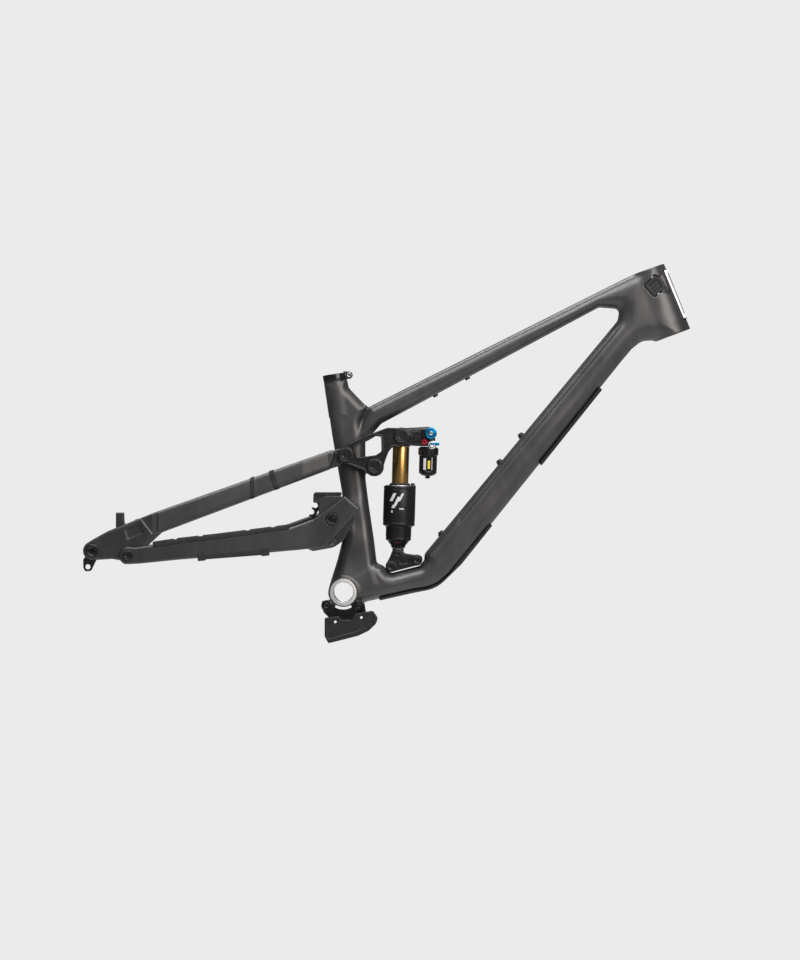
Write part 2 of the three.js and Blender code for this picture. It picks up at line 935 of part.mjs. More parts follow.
function mainBearing(near, far) {
  return ring(MAIN_PIVOT, PIVOT_AXLE_RADIUS + GAP, MAIN_BEARING_RADIUS, near, far);
}

function horstBolt(side) {
  return crossBolt(HORST_PIVOT, side, {
    head: 94.6,
    headRadius: 9,
    headHeight: 2.2,
    tip: 75,
    shankRadius: 4,
  });
}

function idlerGuard() {
  const face = [
    [-52.2, 156, 3],
    [-51.4, 170, 3],
    [-48.6, 174, 2],
    [-1, 174, 3],
    [-6, 165, 4],
    [-24.7, 154, 4],
  ];
  const roof = [
    [-51.4, 170.4, 2],
    [-48.6, 174, 2],
    [-1, 174, 3],
    [-2, 169.8, 2],
    [-20, 169.4],
    [-44, 169.4],
  ];
  return join(
    plate(face, MAIN_PLATE.far + GAP, -56),
    plate(roof, -57, -43),
  );
}

const UPPER_GUARD_THICKNESS = 6;

function chainstayGuardUpper() {
  const lift = (x) => 79.2 + ((x + 357) * (113.3 - 79.2)) / (357 - 91.6);
  const stations = [-329, -270, -210, -150, -92];
  const corners = [
    ...stations.map((x) => [x, lift(x) + 2.2]),
    ...stations.map((x) => [x, lift(x) + 2.2 + UPPER_GUARD_THICKNESS]).reverse(),
  ];
  return moulded(corners, {
    middle: (x) => -RIGHT_ARM_MIDDLE(x),
    half: (x) => RIGHT_ARM_HALF(x) + 0.6,
    edge: 0,
    steps: 1,
  });
}

function chainstayGuardLower() {
  const stations = [-248, -210, -170, -131];
  const lower = (x) => 58 + ((x + 281.7) * (68.4 - 58)) / (281.7 - 143.4);
  const corners = [
    ...stations.map((x) => [x, lower(x) - 1.4]),
    ...stations.map((x) => [x, lower(x) - 5]).reverse(),
  ];
  return moulded(corners, {
    middle: (x) => -RIGHT_ARM_MIDDLE(x),
    half: (x) => RIGHT_ARM_HALF(x) - 1,
    edge: 0,
    steps: 1,
  });
}

// ---------------------------------------------------------------- seatstays

const SEATSTAY_OUTLINE = [
  [-10, 251.6, 9],
  [-324, 140, 40],
  [-405.8, 107.3, 20],
  [-433.4, 92, 10],
  ...arc(REAR_AXLE, 16.5, 128, 262, 7),
  [-419.6, 57.6, 8],
  [-399, 59, 8],
  ...arc(HORST_PIVOT, 14.8, 215, 380, 8),
  [-340, 86, 12],
  [-322, 102.6, 14],
  [-22, 215, 9],
];

const STAY_MIDDLE = alongX([
  [-26, 37],
  [-70, 45],
  [-150, 53],
  [-250, 66],
  [-330, 77],
  [-350, 78.5],
]);
const STAY_HALF = alongX([
  [-26, 9],
  [-70, 9.5],
  [-250, 9],
  [-330, 6.4],
  [-350, 4.5],
]);

const STAY_TONGUE_OUTLINE = [
  [-45, 236, 4],
  [-8, 250],
  [2, 249],
  [2, 227],
  [-8, 220],
  [-45, 208, 4],
];
const STAY_RELIEF = [
  [-40, 205],
  [20, 205],
  [20, 265],
  [-40, 265],
];

// One seatstay: its tube, the tongue beside the rocker, and the dropout with its two bores.
function stayBody(side) {
  const tube = moulded(SEATSTAY_OUTLINE, {
    middle: (x) => side * STAY_MIDDLE(x),
    half: (x) => STAY_HALF(x),
    edge: 3,
    steps: 1,
    longest: 45,
  });
  const tongueFaces = facesOn(side, STAY_TONGUE.inner, STAY_TONGUE.outer);
  const tongue = join(
    disc(STAY_PIVOT, 11.5, ...tongueFaces),
    plate(STAY_TONGUE_OUTLINE, ...tongueFaces),
  );
  const scallop = disc(STAY_PIVOT, 15.2, ...facesOn(side, STAY_TONGUE.outer + 0.2, 60));
  const inboard = plate(STAY_RELIEF, ...facesOn(side, 10, STAY_TONGUE.inner - 0.2));
  return cut(
    join(cut(tube, scallop, inboard), tongue),
    disc(HORST_PIVOT, 40, ...facesOn(side, HORST_EAR_FACE - GAP, 100)),
    disc(STAY_PIVOT, 8.2, -60, 60),
    disc(HORST_PIVOT, 4.3, -120, 120),
    disc(REAR_AXLE, 6.4, -120, 120),
  );
}

const HANGER_SEAT = -78;
const HANGER_HOLE = [-440.6, 45.4];
const HANGER_OUTLINE = [
  ...arc(REAR_AXLE, 13, -35, 215, 14),
  [-449, 58, 6],
  [-448.6, 44, 4],
  [-446, 37.6, 5],
  [-435, 38, 6],
  [-430.4, 48, 6],
];

function seatstayRight() {
  const pocket = HANGER_OUTLINE.map(([x, z, r]) => {
    const out = Math.hypot(x - REAR_AXLE[0], z - REAR_AXLE[1]);
    const grow = (out + 0.6) / out;
    return [REAR_AXLE[0] + (x - REAR_AXLE[0]) * grow, REAR_AXLE[1] + (z - REAR_AXLE[1]) * grow, r];
  });
  return cut(stayBody(RIGHT), plate(pocket, HANGER_SEAT, -60));
}

// The left seatstay also carries the two posts of the rear brake.
function seatstayLeft() {
  const rearPost = plate([[-396, 104], [-395, 138], [-383, 138], [-376, 112]], 62, 80);
  const frontPost = plate([[-326, 120], [-325, 140], [-313, 140], [-306, 124]], 56, 78);
  return join(stayBody(LEFT), rearPost, frontPost);
}

function derailleurHanger() {
  return cut(
    plate(HANGER_OUTLINE, HANGER_SEAT + GAP, -HUB_HALF_WIDTH),
    disc(REAR_AXLE, 6.4, -90, -60),
    disc(HANGER_HOLE, 4.35, -90, -60),
  );
}

function hangerBolt() {
  return ring(REAR_AXLE, 6.4, 11, -84.6, -83.3);
}

function rearAxle() {
  return turned(REAR_AXLE, [
    [0, -83.6],
    [6, -83.6],
    [6, 83.4],
    [9.5, 83.4],
    [9.5, 87],
    [8.5, 88],
    [0, 88],
  ]);
}

// ---------------------------------------------------------------- rocker link

const ROCKER_OUTLINE = [
  ...arc(STAY_PIVOT, 13.6, 250, 110, 7),
  [14, 260.4, 20],
  [48.8, 275.8, 30],
  [76, 286.4, 14],
  ...arc(SHOCK_TOP, 14.6, 95, -80, 8),
  [84, 252, 8],
  [78, 244, 8],
  [73.5, 232],
  [69.6, 220],
  ...arc(ROCKER_PIVOT, 16, 0, -110, 6),
  [36, 212, 10],
];

const ROCKER_WINDOW = [
  [17.6, 252, 4],
  [45, 266, 8],
  [56, 272.6, 6],
  [65.6, 271.4, 4],
  [66.4, 245, 6],
  [56, 238.4, 6],
  [24, 234.6, 5],
];

const ROCKER_BRIDGE = [73, 270];
const ROCKER_BEARING_RADIUS = 11;

function rockerLink() {
  const sides = [RIGHT, LEFT].map((side) => {
    const faces = facesOn(side, ROCKER_PLATE.inner, ROCKER_PLATE.outer);
    return plate(ROCKER_OUTLINE, ...faces, { holes: [ROCKER_WINDOW] });
  });
  const bridge = disc(ROCKER_BRIDGE, 6, -34, 34);
  return cut(
    join(...sides, bridge),
    disc(ROCKER_PIVOT, ROCKER_BEARING_RADIUS + GAP, -60, 60),
    disc(STAY_PIVOT, 5 + GAP, -60, 60),
    disc(SHOCK_TOP, 5 + GAP, -60, 60),
  );
}

function rockerBearing(side) {
  const faces = facesOn(side, ROCKER_PLATE.inner + 0.4, ROCKER_PLATE.outer - 0.6);
  return ring(ROCKER_PIVOT, 6.5 + GAP, ROCKER_BEARING_RADIUS, ...faces);
}

function stayBolt(side) {
  return crossBolt(STAY_PIVOT, side, {
    head: ROCKER_PLATE.outer + 2.6,
    headRadius: 12.4,
    headHeight: 2.3,
    tip: STAY_TONGUE.inner,
    shankRadius: 4,
  });
}

function shockBolt(side) {
  return crossBolt(SHOCK_TOP, side, {
    head: ROCKER_PLATE.outer + 2.6,
    headRadius: 12.4,
    headHeight: 2.3,
    tip: 14,
    shankRadius: 4.4,
  });
}

// ---------------------------------------------------------------- shock

const SHOCK_RUN = [SHOCK_TOP[0] - SHOCK_BOTTOM[0], SHOCK_TOP[1] - SHOCK_BOTTOM[1]];
const SHOCK_LEAN = Math.atan2(SHOCK_RUN[0], SHOCK_RUN[1]) / DEG;

// A solid turned about the shock's axis, from a profile of [radius, distance above the eyelet].
function shockTurned(profile) {
  return turnedAlong(SHOCK_BOTTOM, SHOCK_LEAN, profile);
}

function airCan() {
  return shockTurned([
    [0, 10.6],
    [12.2, 10.6],
    [12.2, 14],
    [19, 23],
    [22.2, 25],
    [22.2, 46],
    [24, 48.6],
    [CAN_RADIUS, 50.5],
    [CAN_RADIUS, 117],
    [26.6, 119],
    [SHAFT_RADIUS + RUNNING, 119],
    [SHAFT_RADIUS + RUNNING, 117],
    [24.4, 117],
    [24.4, 52],
    [18, 45],
    [0, 45],
  ]);
}

function shockEyelet() {
  return cut(
    join(
      disc(SHOCK_BOTTOM, 9.6, -12.3, 12.3),
      shockTurned([[0, 0], [8.6, 0], [10, 10.2], [0, 10.2]]),
    ),
    disc(SHOCK_BOTTOM, 4.4, -20, 20),
  );
}

function shaftWiper() {
  const inner = SHAFT_RADIUS + RUNNING;
  return shockTurned([
    [inner, 119.3],
    [18.4, 119.3],
    [18.4, 122],
    [16.6, 123.6],
    [inner, 123.6],
    [inner, 119.3],
  ]);
}

function airValve() {
  const [x, z] = SHOCK_BOTTOM;
  return turnedAlong([x + 22.4, z], SHOCK_LEAN, [
    [0, 119.6],
    [3.3, 119.6],
    [3.3, 122.6],
    [2.8, 123.6],
    [0, 123.6],
  ]);
}

function airPiston() {
  return shockTurned([
    [0, 113],
    [24, 113],
    [24, 116.4],
    [0, 116.4],
  ]);
}

function shockShaft() {
  return shockTurned([
    [0, 116.7],
    [SHAFT_RADIUS, 116.7],
    [SHAFT_RADIUS, 187.4],
    [0, 187.4],
  ]);
}

const HEAD_HALF = 27;
const RESERVOIR = [146.6, 196];
const COMPRESSION_KNOB = [152.5, 276.8];
const REBOUND_KNOB = [141.2, 261.6];
const LOCKOUT = [154.5, 256.6];
const LOCKOUT_FACE = -17.6;

const SHOCK_BRIDGE = [
  [104, 256.6],
  [104, 286, 2],
  [150, 288.6, 6],
  [160, 280, 6],
  [160, 264, 5],
  [156, 254.6, 3],
  [128, 254.6, 2],
];

// The trunnion head, which carries the dials and the reservoir.
function shockHead() {
  const trunnion = join(
    disc(SHOCK_TOP, 15.8, -HEAD_HALF, HEAD_HALF),
    shockTurned([[0, 187.7], [15.8, 187.7], [15.8, 205], [0, 205]]),
  );
  const bridge = plate(SHOCK_BRIDGE, -15, 15, { edge: 1.4 });
  const crossBore = [-HEAD_HALF - 2, -13, 13, HEAD_HALF + 2];
  return cut(
    join(trunnion, bridge, disc(LOCKOUT, 4, LOCKOUT_FACE, -14)),
    disc(SHOCK_TOP, 11.4, crossBore[0], crossBore[1]),
    disc(SHOCK_TOP, 11.4, crossBore[2], crossBore[3]),
  );
}

function shockReservoir() {
  return turnedAlong(RESERVOIR, SHOCK_LEAN, [
    [0, 2],
    [4, 2],
    [4, 6],
    [12, 8.4],
    [15.6, 12],
    [15.6, 42],
    [17.4, 43.5],
    [17.4, 55],
    [13, 57.6],
    [0, 57.6],
  ]);
}

// A dial on the drive-side face of the shock's head.
function dial(centre, radius, face, height) {
  return turned(centre, [
    [0, face - height],
    [radius - 1, face - height],
    [radius, face - height + 1],
    [radius, face],
    [0, face],
  ]);
}

function lockoutLever() {
  const hub = disc(LOCKOUT, 6, LOCKOUT_FACE - 6, LOCKOUT_FACE - GAP);
  const corners = [
    [152, 253.8, 1],
    [152, 259, 1],
    [166.6, 259.8, 2],
    [166.6, 255, 2],
  ];
  return join(hub, plate(corners, LOCKOUT_FACE - 5.6, LOCKOUT_FACE - 1.4));
}

// ---------------------------------------------------------------- the assembly

const frame = new THREE.Group();
frame.name = "frame";

function add(name, material, solid) {
  const mesh = new THREE.Mesh(geometryOf(solid), MATERIALS[material]);
  mesh.name = name;
  frame.add(mesh);
}

add("front_triangle", "carbon", frontTriangle());
add("bottom_bracket_shell", "aluminium", bottomBracketShell());
add("seat_clamp", "satinBlack", seatClamp());
add("seat_clamp_bolt", "steel", seatClampBolt());
add("head_badge", "satinBlack", headBadge());
add("cable_port_right", "plastic", cablePort(RIGHT));
add("cable_port_left", "plastic", cablePort(LEFT));
add("downtube_guard_lower", "rubber", guardStrip(48, 258, 3.6, 21));
add("downtube_guard_upper", "rubber", guardStrip(343, 449, 5, 19));
BOTTLE_BOLTS.forEach((bolt, i) => add(`bottle_bolt_${i + 1}`, "satinBlack", bottleBolt(bolt)));
add("chainguide_backplate", "satinBlack", chainguideBackplate());
GUIDE_BOLTS.forEach((spot, i) => add(`chainguide_bolt_${i + 1}`, "satinBlack", chainguideBolt(spot)));
add("bash_guard", "plastic", bashGuard());
add("shock_mount", "satinBlack", shockMount());
SHOCK_MOUNT_BOLTS.forEach((spot, i) =>
  add(`shock_mount_bolt_${i + 1}`, "satinBlack", shockMountBolt(spot)),
);
add("shock_eyelet_bolt", "satinBlack", shockEyeletBolt());
add("main_pivot_axle", "steel", mainPivotAxle());
add("main_pivot_cap", "satinBlack", mainPivotCap());
add("rocker_axle", "satinBlack", rockerAxle());
add("rocker_axle_nut", "satinBlack", rockerAxleNut());

add("idler_wheel", "satinBlack", idlerWheel());
add("idler_bearing", "steel", mainBearing(-53.6, -46.4));

add("chainstay", "carbon", chainstay());
add("main_bearing_right", "steel", mainBearing(-68.6, -60.4));
add("main_bearing_left", "steel", mainBearing(39.4, 49.6));
add("idler_guard", "plastic", idlerGuard());
add("chainstay_guard_upper", "rubber", chainstayGuardUpper());
add("chainstay_guard_lower", "rubber", chainstayGuardLower());
add("horst_bolt_right", "satinBlack", horstBolt(RIGHT));
add("horst_bolt_left", "satinBlack", horstBolt(LEFT));

add("seatstay_right", "carbon", seatstayRight());
add("seatstay_left", "carbon", seatstayLeft());
add("derailleur_hanger", "satinBlack", derailleurHanger());
add("hanger_bolt", "aluminium", hangerBolt());
add("rear_axle", "satinBlack", rearAxle());

add("rocker_link", "satinBlack", rockerLink());
add("rocker_bearing_right", "steel", rockerBearing(RIGHT));
add("rocker_bearing_left", "steel", rockerBearing(LEFT));
add("stay_bolt_right", "satinBlack", stayBolt(RIGHT));
add("stay_bolt_left", "satinBlack", stayBolt(LEFT));
add("shock_bolt_right", "satinBlack", shockBolt(RIGHT));
add("shock_bolt_left", "satinBlack", shockBolt(LEFT));

add("air_can", "satinBlack", airCan());
add("shock_eyelet", "satinBlack", shockEyelet());
add("shaft_wiper", "rubber", shaftWiper());
add("air_valve", "satinBlack", airValve());

add("shock_shaft", "gold", shockShaft());
add("air_piston", "aluminium", airPiston());
add("shock_head", "satinBlack", shockHead());
add("shock_reservoir", "satinBlack", shockReservoir());

add("compression_knob", "blue", dial(COMPRESSION_KNOB, 10.4, -15.3, 8));
add("rebound_knob", "red", dial(REBOUND_KNOB, 5, -15.3, 7));
add("lockout_lever", "blue", lockoutLever());

export default frame;
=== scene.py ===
import json
import math

import bmesh
import bpy
import numpy as np
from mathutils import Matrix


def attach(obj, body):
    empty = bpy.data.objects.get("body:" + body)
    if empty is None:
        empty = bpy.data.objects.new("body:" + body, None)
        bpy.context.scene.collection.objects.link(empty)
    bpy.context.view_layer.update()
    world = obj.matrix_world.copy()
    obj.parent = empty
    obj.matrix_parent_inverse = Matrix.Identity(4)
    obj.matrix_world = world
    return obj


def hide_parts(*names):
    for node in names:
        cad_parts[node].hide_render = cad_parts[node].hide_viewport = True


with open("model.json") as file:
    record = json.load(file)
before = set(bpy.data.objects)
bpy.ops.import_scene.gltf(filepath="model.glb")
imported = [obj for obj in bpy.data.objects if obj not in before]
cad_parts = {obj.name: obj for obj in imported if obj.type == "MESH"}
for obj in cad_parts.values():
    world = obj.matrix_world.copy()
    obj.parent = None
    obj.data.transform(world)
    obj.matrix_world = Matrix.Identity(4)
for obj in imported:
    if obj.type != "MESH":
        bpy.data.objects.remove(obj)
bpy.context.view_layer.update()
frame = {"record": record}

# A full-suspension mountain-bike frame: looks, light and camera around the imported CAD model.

import openvdb
from mathutils import Matrix, Vector

RECORD = frame["record"]
BODY_OF = {n: b for b, nodes in RECORD["behaviour"]["bodies"].items() for n in nodes}
SCENE = bpy.context.scene

# All shapes are worked out in millimetres in the frame's own axes, and turned into metres last.
MM = 0.001
RIGHT = -1
LEFT = 1

MAIN_PIVOT = (-20, 127.5)
HORST_PIVOT = (-370.6, 64.8)
REAR_AXLE = (-432.5, 73)
STAY_PIVOT = (3.7, 238.3)
ROCKER_PIVOT = (53.7, 218.3)
SHOCK_TOP = (100.9, 271.1)
SHOCK_BOTTOM = (94.8, 66.2)
SHOCK_MOUNT_BOLTS = [(82.6, 44.3), (128.1, 55.5)]
RESERVOIR = (146.6, 196)
COMPRESSION_DIAL = (152.5, 276.8)
REBOUND_DIAL = (141.2, 261.6)
LEVER = (154.5, 256.6)
HANGER_HOLE = (-440.6, 45.4)
ROCKER_BRIDGE = (73, 270)
SEAT_TUBE_TOP = (-14.3, 368.4)
SEAT_LEAN = -8.6
HEAD_TOP = (534.1, 564.6)
HEAD_BOTTOM = (576.7, 448.6)
HEAD_LENGTH = math.dist(HEAD_TOP, HEAD_BOTTOM)
HEAD_LEAN = math.degrees(math.atan2(HEAD_TOP[0] - HEAD_BOTTOM[0], HEAD_TOP[1] - HEAD_BOTTOM[1]))
SHOCK_LEAN = math.degrees(math.atan2(SHOCK_TOP[0] - SHOCK_BOTTOM[0], SHOCK_TOP[1] - SHOCK_BOTTOM[1]))
DOWN_TUBE_ACROSS = 50.2 - 90

# ---------------------------------------------------------------- outlines in the side plane


def polar(centre, radius, degrees):
    turn = math.radians(degrees)
    return (centre[0] + radius * math.cos(turn), centre[1] + radius * math.sin(turn))


def arc(centre, radius, start, end, steps=24):
    turns = np.linspace(start, end, steps + 1)
    return [polar(centre, radius, turn) for turn in turns]


def rounded(corners, steps=9):
    """A closed outline through corners (x, z, radius), each turned into a smooth round."""
    points = []
    count = len(corners)
    for i, corner in enumerate(corners):
        here = np.array(corner[:2], float)
        radius = corner[2] if len(corner) > 2 else 0
        back = np.array(corners[i - 1][:2], float) - here
        ahead = np.array(corners[(i + 1) % count][:2], float) - here
        back_length, ahead_length = np.hypot(*back), np.hypot(*ahead)
        cosine = np.clip(back @ ahead / (back_length * ahead_length), -1, 1)
        half = math.acos(cosine) / 2
        if not radius or half > math.radians(89.3):
            points.append(here)
            continue
        reach = min(radius / math.tan(half), 0.49 * back_length, 0.49 * ahead_length)
        start = here + back / back_length * reach
        end = here + ahead / ahead_length * reach
        for t in np.linspace(0, 1, steps):
            points.append((1 - t) ** 2 * start + 2 * t * (1 - t) * here + t * t * end)
    return np.array(points)


def inside_distance(x, z, points):
    """Distance to a closed outline, positive inside, over the grid x (n, 1) by z (1, m)."""
    best = np.full(np.broadcast(x, z).shape, 1e12)
    inside = np.zeros(best.shape, bool)
    for (ax, az), (bx, bz) in zip(points, np.roll(points, -1, 0)):
        ex, ez = bx - ax, bz - az
        length = ex * ex + ez * ez
        if length < 1e-12:
            continue
        t = np.clip(((x - ax) * ex + (z - az) * ez) / length, 0, 1)
        best = np.minimum(best, (x - ax - ex * t) ** 2 + (z - az - ez * t) ** 2)
        if abs(ez) > 1e-12:
            crosses = ((az > z) != (bz > z)) & (x < ex * (z - az) / ez + ax)
            inside ^= crosses
    return np.where(inside, 1, -1) * np.sqrt(best)


# ---------------------------------------------------------------- solid fields, negative inside


class Grid:
    """A box of sample points in millimetres."""

    def __init__(self, low, high, step):
        self.low = np.array(low, float)
        self.step = step
        counts = np.ceil((np.array(high, float) - self.low) / step).astype(int) + 1
        x, y, z = (start + step * np.arange(n) for start, n in zip(self.low, counts))
        self.x = x[:, None, None].astype(np.float32)
        self.y = y[None, :, None].astype(np.float32)
        self.z = z[None, None, :].astype(np.float32)

    def plan(self, corners):
        """How far inside an outline each point is, seen from the side."""
        distance = inside_distance(self.x[:, 0, :], self.z[:, 0, :], rounded(corners))
        return distance[:, None, :].astype(np.float32)

    def along(self, base, lean):
        """(distance from a leaning line in the side plane, distance along it)."""
        s, c = math.sin(math.radians(lean)), math.cos(math.radians(lean))
        dx, dz = self.x - base[0], self.z - base[1]
        return np.sqrt((dx * c - dz * s) ** 2 + self.y**2), dx * s + dz * c

    def across(self, centre):
        """Distance from a line across the frame."""
        return np.sqrt((self.x - centre[0]) ** 2 + (self.z - centre[1]) ** 2)


def stations(grid, spots, power=3):
    """A smooth value over the side plane from (x, z, value) spots."""
    total = 0
    weights = 0
    for sx, sz, value in spots:
        weight = 1 / (grid.across((sx, sz)) + 4) ** power
        total = total + weight * value
        weights = weights + weight
    return total / weights


def along_x(grid, spots):
    xs, values = zip(*sorted(spots))
    return np.interp(grid.x, xs, values).astype(np.float32)


def section(distance, y, half, rounding, power=2.4):
    """A tube's wall: its outline's distance across the picture and its half width across it."""
    edge = np.maximum(0, 1 - distance / rounding)
    side = np.abs(y) / half
    return ((edge**power + side**power) ** (1 / power) - 1) * np.minimum(rounding, half)


def union(a, b, blend=0.01):
    h = np.clip(0.5 + 0.5 * (b - a) / blend, 0, 1)
    return b * (1 - h) + a * h - blend * h * (1 - h)


def common(a, b, blend=0.01):
    return -union(-a, -b, blend)


def without(a, b, blend=0.01):
    return -union(-a, b, blend)


def slab(y, near, far):
    return np.abs(y - (near + far) / 2) - (far - near) / 2


def disc_field(grid, centre, radius, near, far, edge=1.0):
    return common(grid.across(centre) - radius, slab(grid.y, near, far), edge)


def plate_field(grid, corners, near, far, edge=1.2):
    return common(-grid.plan(corners), slab(grid.y, near, far), edge)


# ---------------------------------------------------------------- meshes


def add_object(name, mesh):
    piece = bpy.data.objects.new(name, mesh)
    SCENE.collection.objects.link(piece)
    return piece


def smooth(mesh, degrees=35):
    mesh.polygons.foreach_set("use_smooth", np.ones(len(mesh.polygons), bool))
    mesh.set_sharp_from_angle(angle=math.radians(degrees))
    mesh.update()


def quads_mesh(name, points, quads):
    mesh = bpy.data.meshes.new(name)
    mesh.vertices.add(len(points))
    mesh.vertices.foreach_set("co", np.asarray(points, np.float32).ravel())
    mesh.loops.add(4 * len(quads))
    mesh.loops.foreach_set("vertex_index", np.asarray(quads, np.int32).ravel())
    mesh.polygons.add(len(quads))
    mesh.polygons.foreach_set("loop_start", np.arange(0, 4 * len(quads), 4, dtype=np.int32))
    mesh.update(calc_edges=True)
    mesh.validate()
    return mesh


def relaxed(points, quads, rounds):
    """Evens the small steps that sampling leaves, in and out in turn so that nothing shrinks."""
    edges = np.concatenate([quads[:, [i, (i + 1) % 4]] for i in range(4)])
    count = np.bincount(edges.ravel(), minlength=len(points)).astype(float)[:, None]
    for step in (0.5, -0.52) * rounds:
        total = np.zeros_like(points)
        for a, b in ((0, 1), (1, 0)):
            for axis in range(3):
                total[:, axis] += np.bincount(
                    edges[:, a], weights=points[edges[:, b], axis], minlength=len(points)
                )
        points = points + step * (total / count - points)
    return points


def sampled(field, points):
    """A field's value between its samples."""
    low = np.clip(np.floor(points).astype(int), 0, np.array(field.shape) - 2)
    t = points - low
    value = 0
    for corner in np.ndindex(2, 2, 2):
        weight = np.prod(np.where(corner, t, 1 - t), axis=1)
        i, j, k = (low + corner).T
        value = value + weight * field[i, j, k]
    return value


def rises(field, points, reach):
    """How much a field rises along each axis, between two points to each side."""
    rise = [sampled(field, points + axis) - sampled(field, points - axis) for axis in reach * np.eye(3)]
    return np.stack(rise, 1)


def settled(field, points):
    """Moves points along the field's slope until they lie on its surface."""
    value = sampled(field, points)
    slope = rises(field, points, 0.5)
    steep = np.maximum((slope**2).sum(1), 0.05)
    move = -(value / steep)[:, None] * slope
    length = np.maximum(np.linalg.norm(move, axis=1), 1e-9)[:, None]
    return points + move * np.minimum(1, 0.6 / length)


def slopes(field, points, reach):
    """Outward normals of a field, read a little to each side of its surface."""
    slope = rises(field, points, reach)
    return slope / np.maximum(np.linalg.norm(slope, axis=1), 1e-9)[:, None]


def field_piece(name, grid, field, rounds=2, moulded=False):
    """The surface of a solid field as an object; a moulded one has no sharp edges."""
    field = np.ascontiguousarray(field, np.float32)
    volume = openvdb.FloatGrid(20.0)
    volume.copyFromArray(field)
    points, quads = volume.convertToQuads(0.0)
    points = relaxed(points.astype(float), quads.astype(int), rounds)
    points = settled(field, settled(field, points))
    mesh = quads_mesh(name, (grid.low + points * grid.step) * MM, quads)
    smooth(mesh, 180 if moulded else 50)
    if moulded:
        mesh.normals_split_custom_set_from_vertices(slopes(field, points, 0.9))
    return add_object(name, mesh)


def across(centre):
    """Local z runs across the frame, from right to left, through a point of the side plane."""
    turn = Matrix(((1, 0, 0), (0, 0, 1), (0, -1, 0))).to_4x4()
    return Matrix.Translation((centre[0], 0, centre[1])) @ turn


def leaning(base, lean):
    """Local z runs along a line in the side plane that leans forward by some degrees."""
    turn = Matrix.Rotation(math.radians(lean), 4, "Y")
    return Matrix.Translation((base[0], 0, base[1])) @ turn


def eased(profile, radius):
    """A profile with its corners rounded a little. Entries with a shape stay sharp."""
    if not radius:
        return list(profile)
    out = [profile[0]]
    for before, here, after in zip(profile, profile[1:], profile[2:]):
        if len(here) > 2 or here[0] == 0:
            out.append(here)
            continue
        point = np.array(here[:2], float)
        back = np.array(before[:2], float) - point
        ahead = np.array(after[:2], float) - point
        lengths = np.hypot(*back), np.hypot(*ahead)
        if min(lengths) < 1e-6:
            continue
        reach = min(radius, 0.4 * lengths[0], 0.4 * lengths[1])
        start = point + back / lengths[0] * reach
        end = point + ahead / lengths[1] * reach
        for t in (0, 0.33, 0.67, 1):
            spot = (1 - t) ** 2 * start + 2 * t * (1 - t) * point + t * t * end
            out.append(tuple(spot))
    return out + [profile[-1]]


def hexagon(turn):
    """How far out a hexagon of flat radius 1 reaches at an angle."""
    return 1 / np.cos((turn % (math.pi / 3)) - math.pi / 6)


def lobed(count, depth):
    return lambda turn: 1 + depth * np.cos(count * turn)


def turned(name, place, profile, sides=96, ease=0.35):
    """A body turned about local z from (radius, height, shape) entries."""
    turns = np.linspace(0, 2 * math.pi, sides, endpoint=False)
    rings = []
    for entry in eased(profile, ease):
        reach = entry[0] * (entry[2](turns) if len(entry) > 2 else np.ones(sides))
        height = np.full(sides, entry[1])
        rings.append(np.stack([reach * np.cos(turns), reach * np.sin(turns), height], 1))
    points = np.concatenate(rings)
    quads = []
    for ring in range(len(rings) - 1):
        a = ring * sides + np.arange(sides)
        b = ring * sides + (np.arange(sides) + 1) % sides
        quads.append(np.stack([a, b, b + sides, a + sides], 1))
    mesh = quads_mesh(name, points, np.concatenate(quads))
    weld(mesh, 1e-4)
    mesh.transform(Matrix.Scale(MM, 4) @ place)
    smooth(mesh)
    return add_object(name, mesh)


def weld(mesh, distance):
    built = bmesh.new()
    built.from_mesh(mesh)
    bmesh.ops.remove_doubles(built, verts=built.verts, dist=distance)
    bmesh.ops.recalc_face_normals(built, faces=built.faces)
    built.to_mesh(mesh)
    built.free()


def flat(name, outlines, near, far, bevel=0.6, segments=2):
    """A plate between two y values from outlines, the first outside and the rest holes."""
    curve = bpy.data.curves.new(name, "CURVE")
    curve.dimensions = "2D"
    curve.fill_mode = "BOTH"
    for points in outlines:
        spline = curve.splines.new("POLY")
        spline.points.add(len(points) - 1)
        flat = [(x * MM, z * MM, 0, 1) for x, z in points]
        spline.points.foreach_set("co", np.array(flat, np.float32).ravel())
        spline.use_cyclic_u = True
    curve.extrude = ((far - near) / 2 - bevel) * MM
    curve.bevel_depth = bevel * MM
    curve.bevel_resolution = segments
    curve.offset = -bevel * MM
    holder = bpy.data.objects.new(name, curve)
    SCENE.collection.objects.link(holder)
    bpy.context.view_layer.update()
    shown = holder.evaluated_get(bpy.context.evaluated_depsgraph_get())
    mesh = bpy.data.meshes.new_from_object(shown)
    bpy.data.objects.remove(holder)
    bpy.data.curves.remove(curve)
    mesh.name = name
    turn = Matrix(((1, 0, 0), (0, 0, -1), (0, 1, 0))).to_4x4()
    mesh.transform(Matrix.Translation((0, (near + far) / 2 * MM, 0)) @ turn)
    weld(mesh, 1e-6)
    smooth(mesh, 40)
    return add_object(name, mesh)


def joined(name, *pieces):
    """Several pieces as one object."""
    built = bmesh.new()
    for piece in pieces:
        built.from_mesh(piece.data)
    mesh = bpy.data.meshes.new(name)
    built.to_mesh(mesh)
    built.free()
    for piece in pieces:
        bpy.data.objects.remove(piece)
    smooth(mesh)
    return add_object(name, mesh)


def finish(piece, material, slot, *nodes, body=None):
    """Gives a piece its material and body, and the CAD nodes that it stands for."""
    piece.data.materials.clear()
    piece.data.materials.append(material)
    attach(piece, body or BODY_OF[nodes[0]])
    if nodes:
        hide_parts(*nodes)
    return piece


# ---------------------------------------------------------------- materials


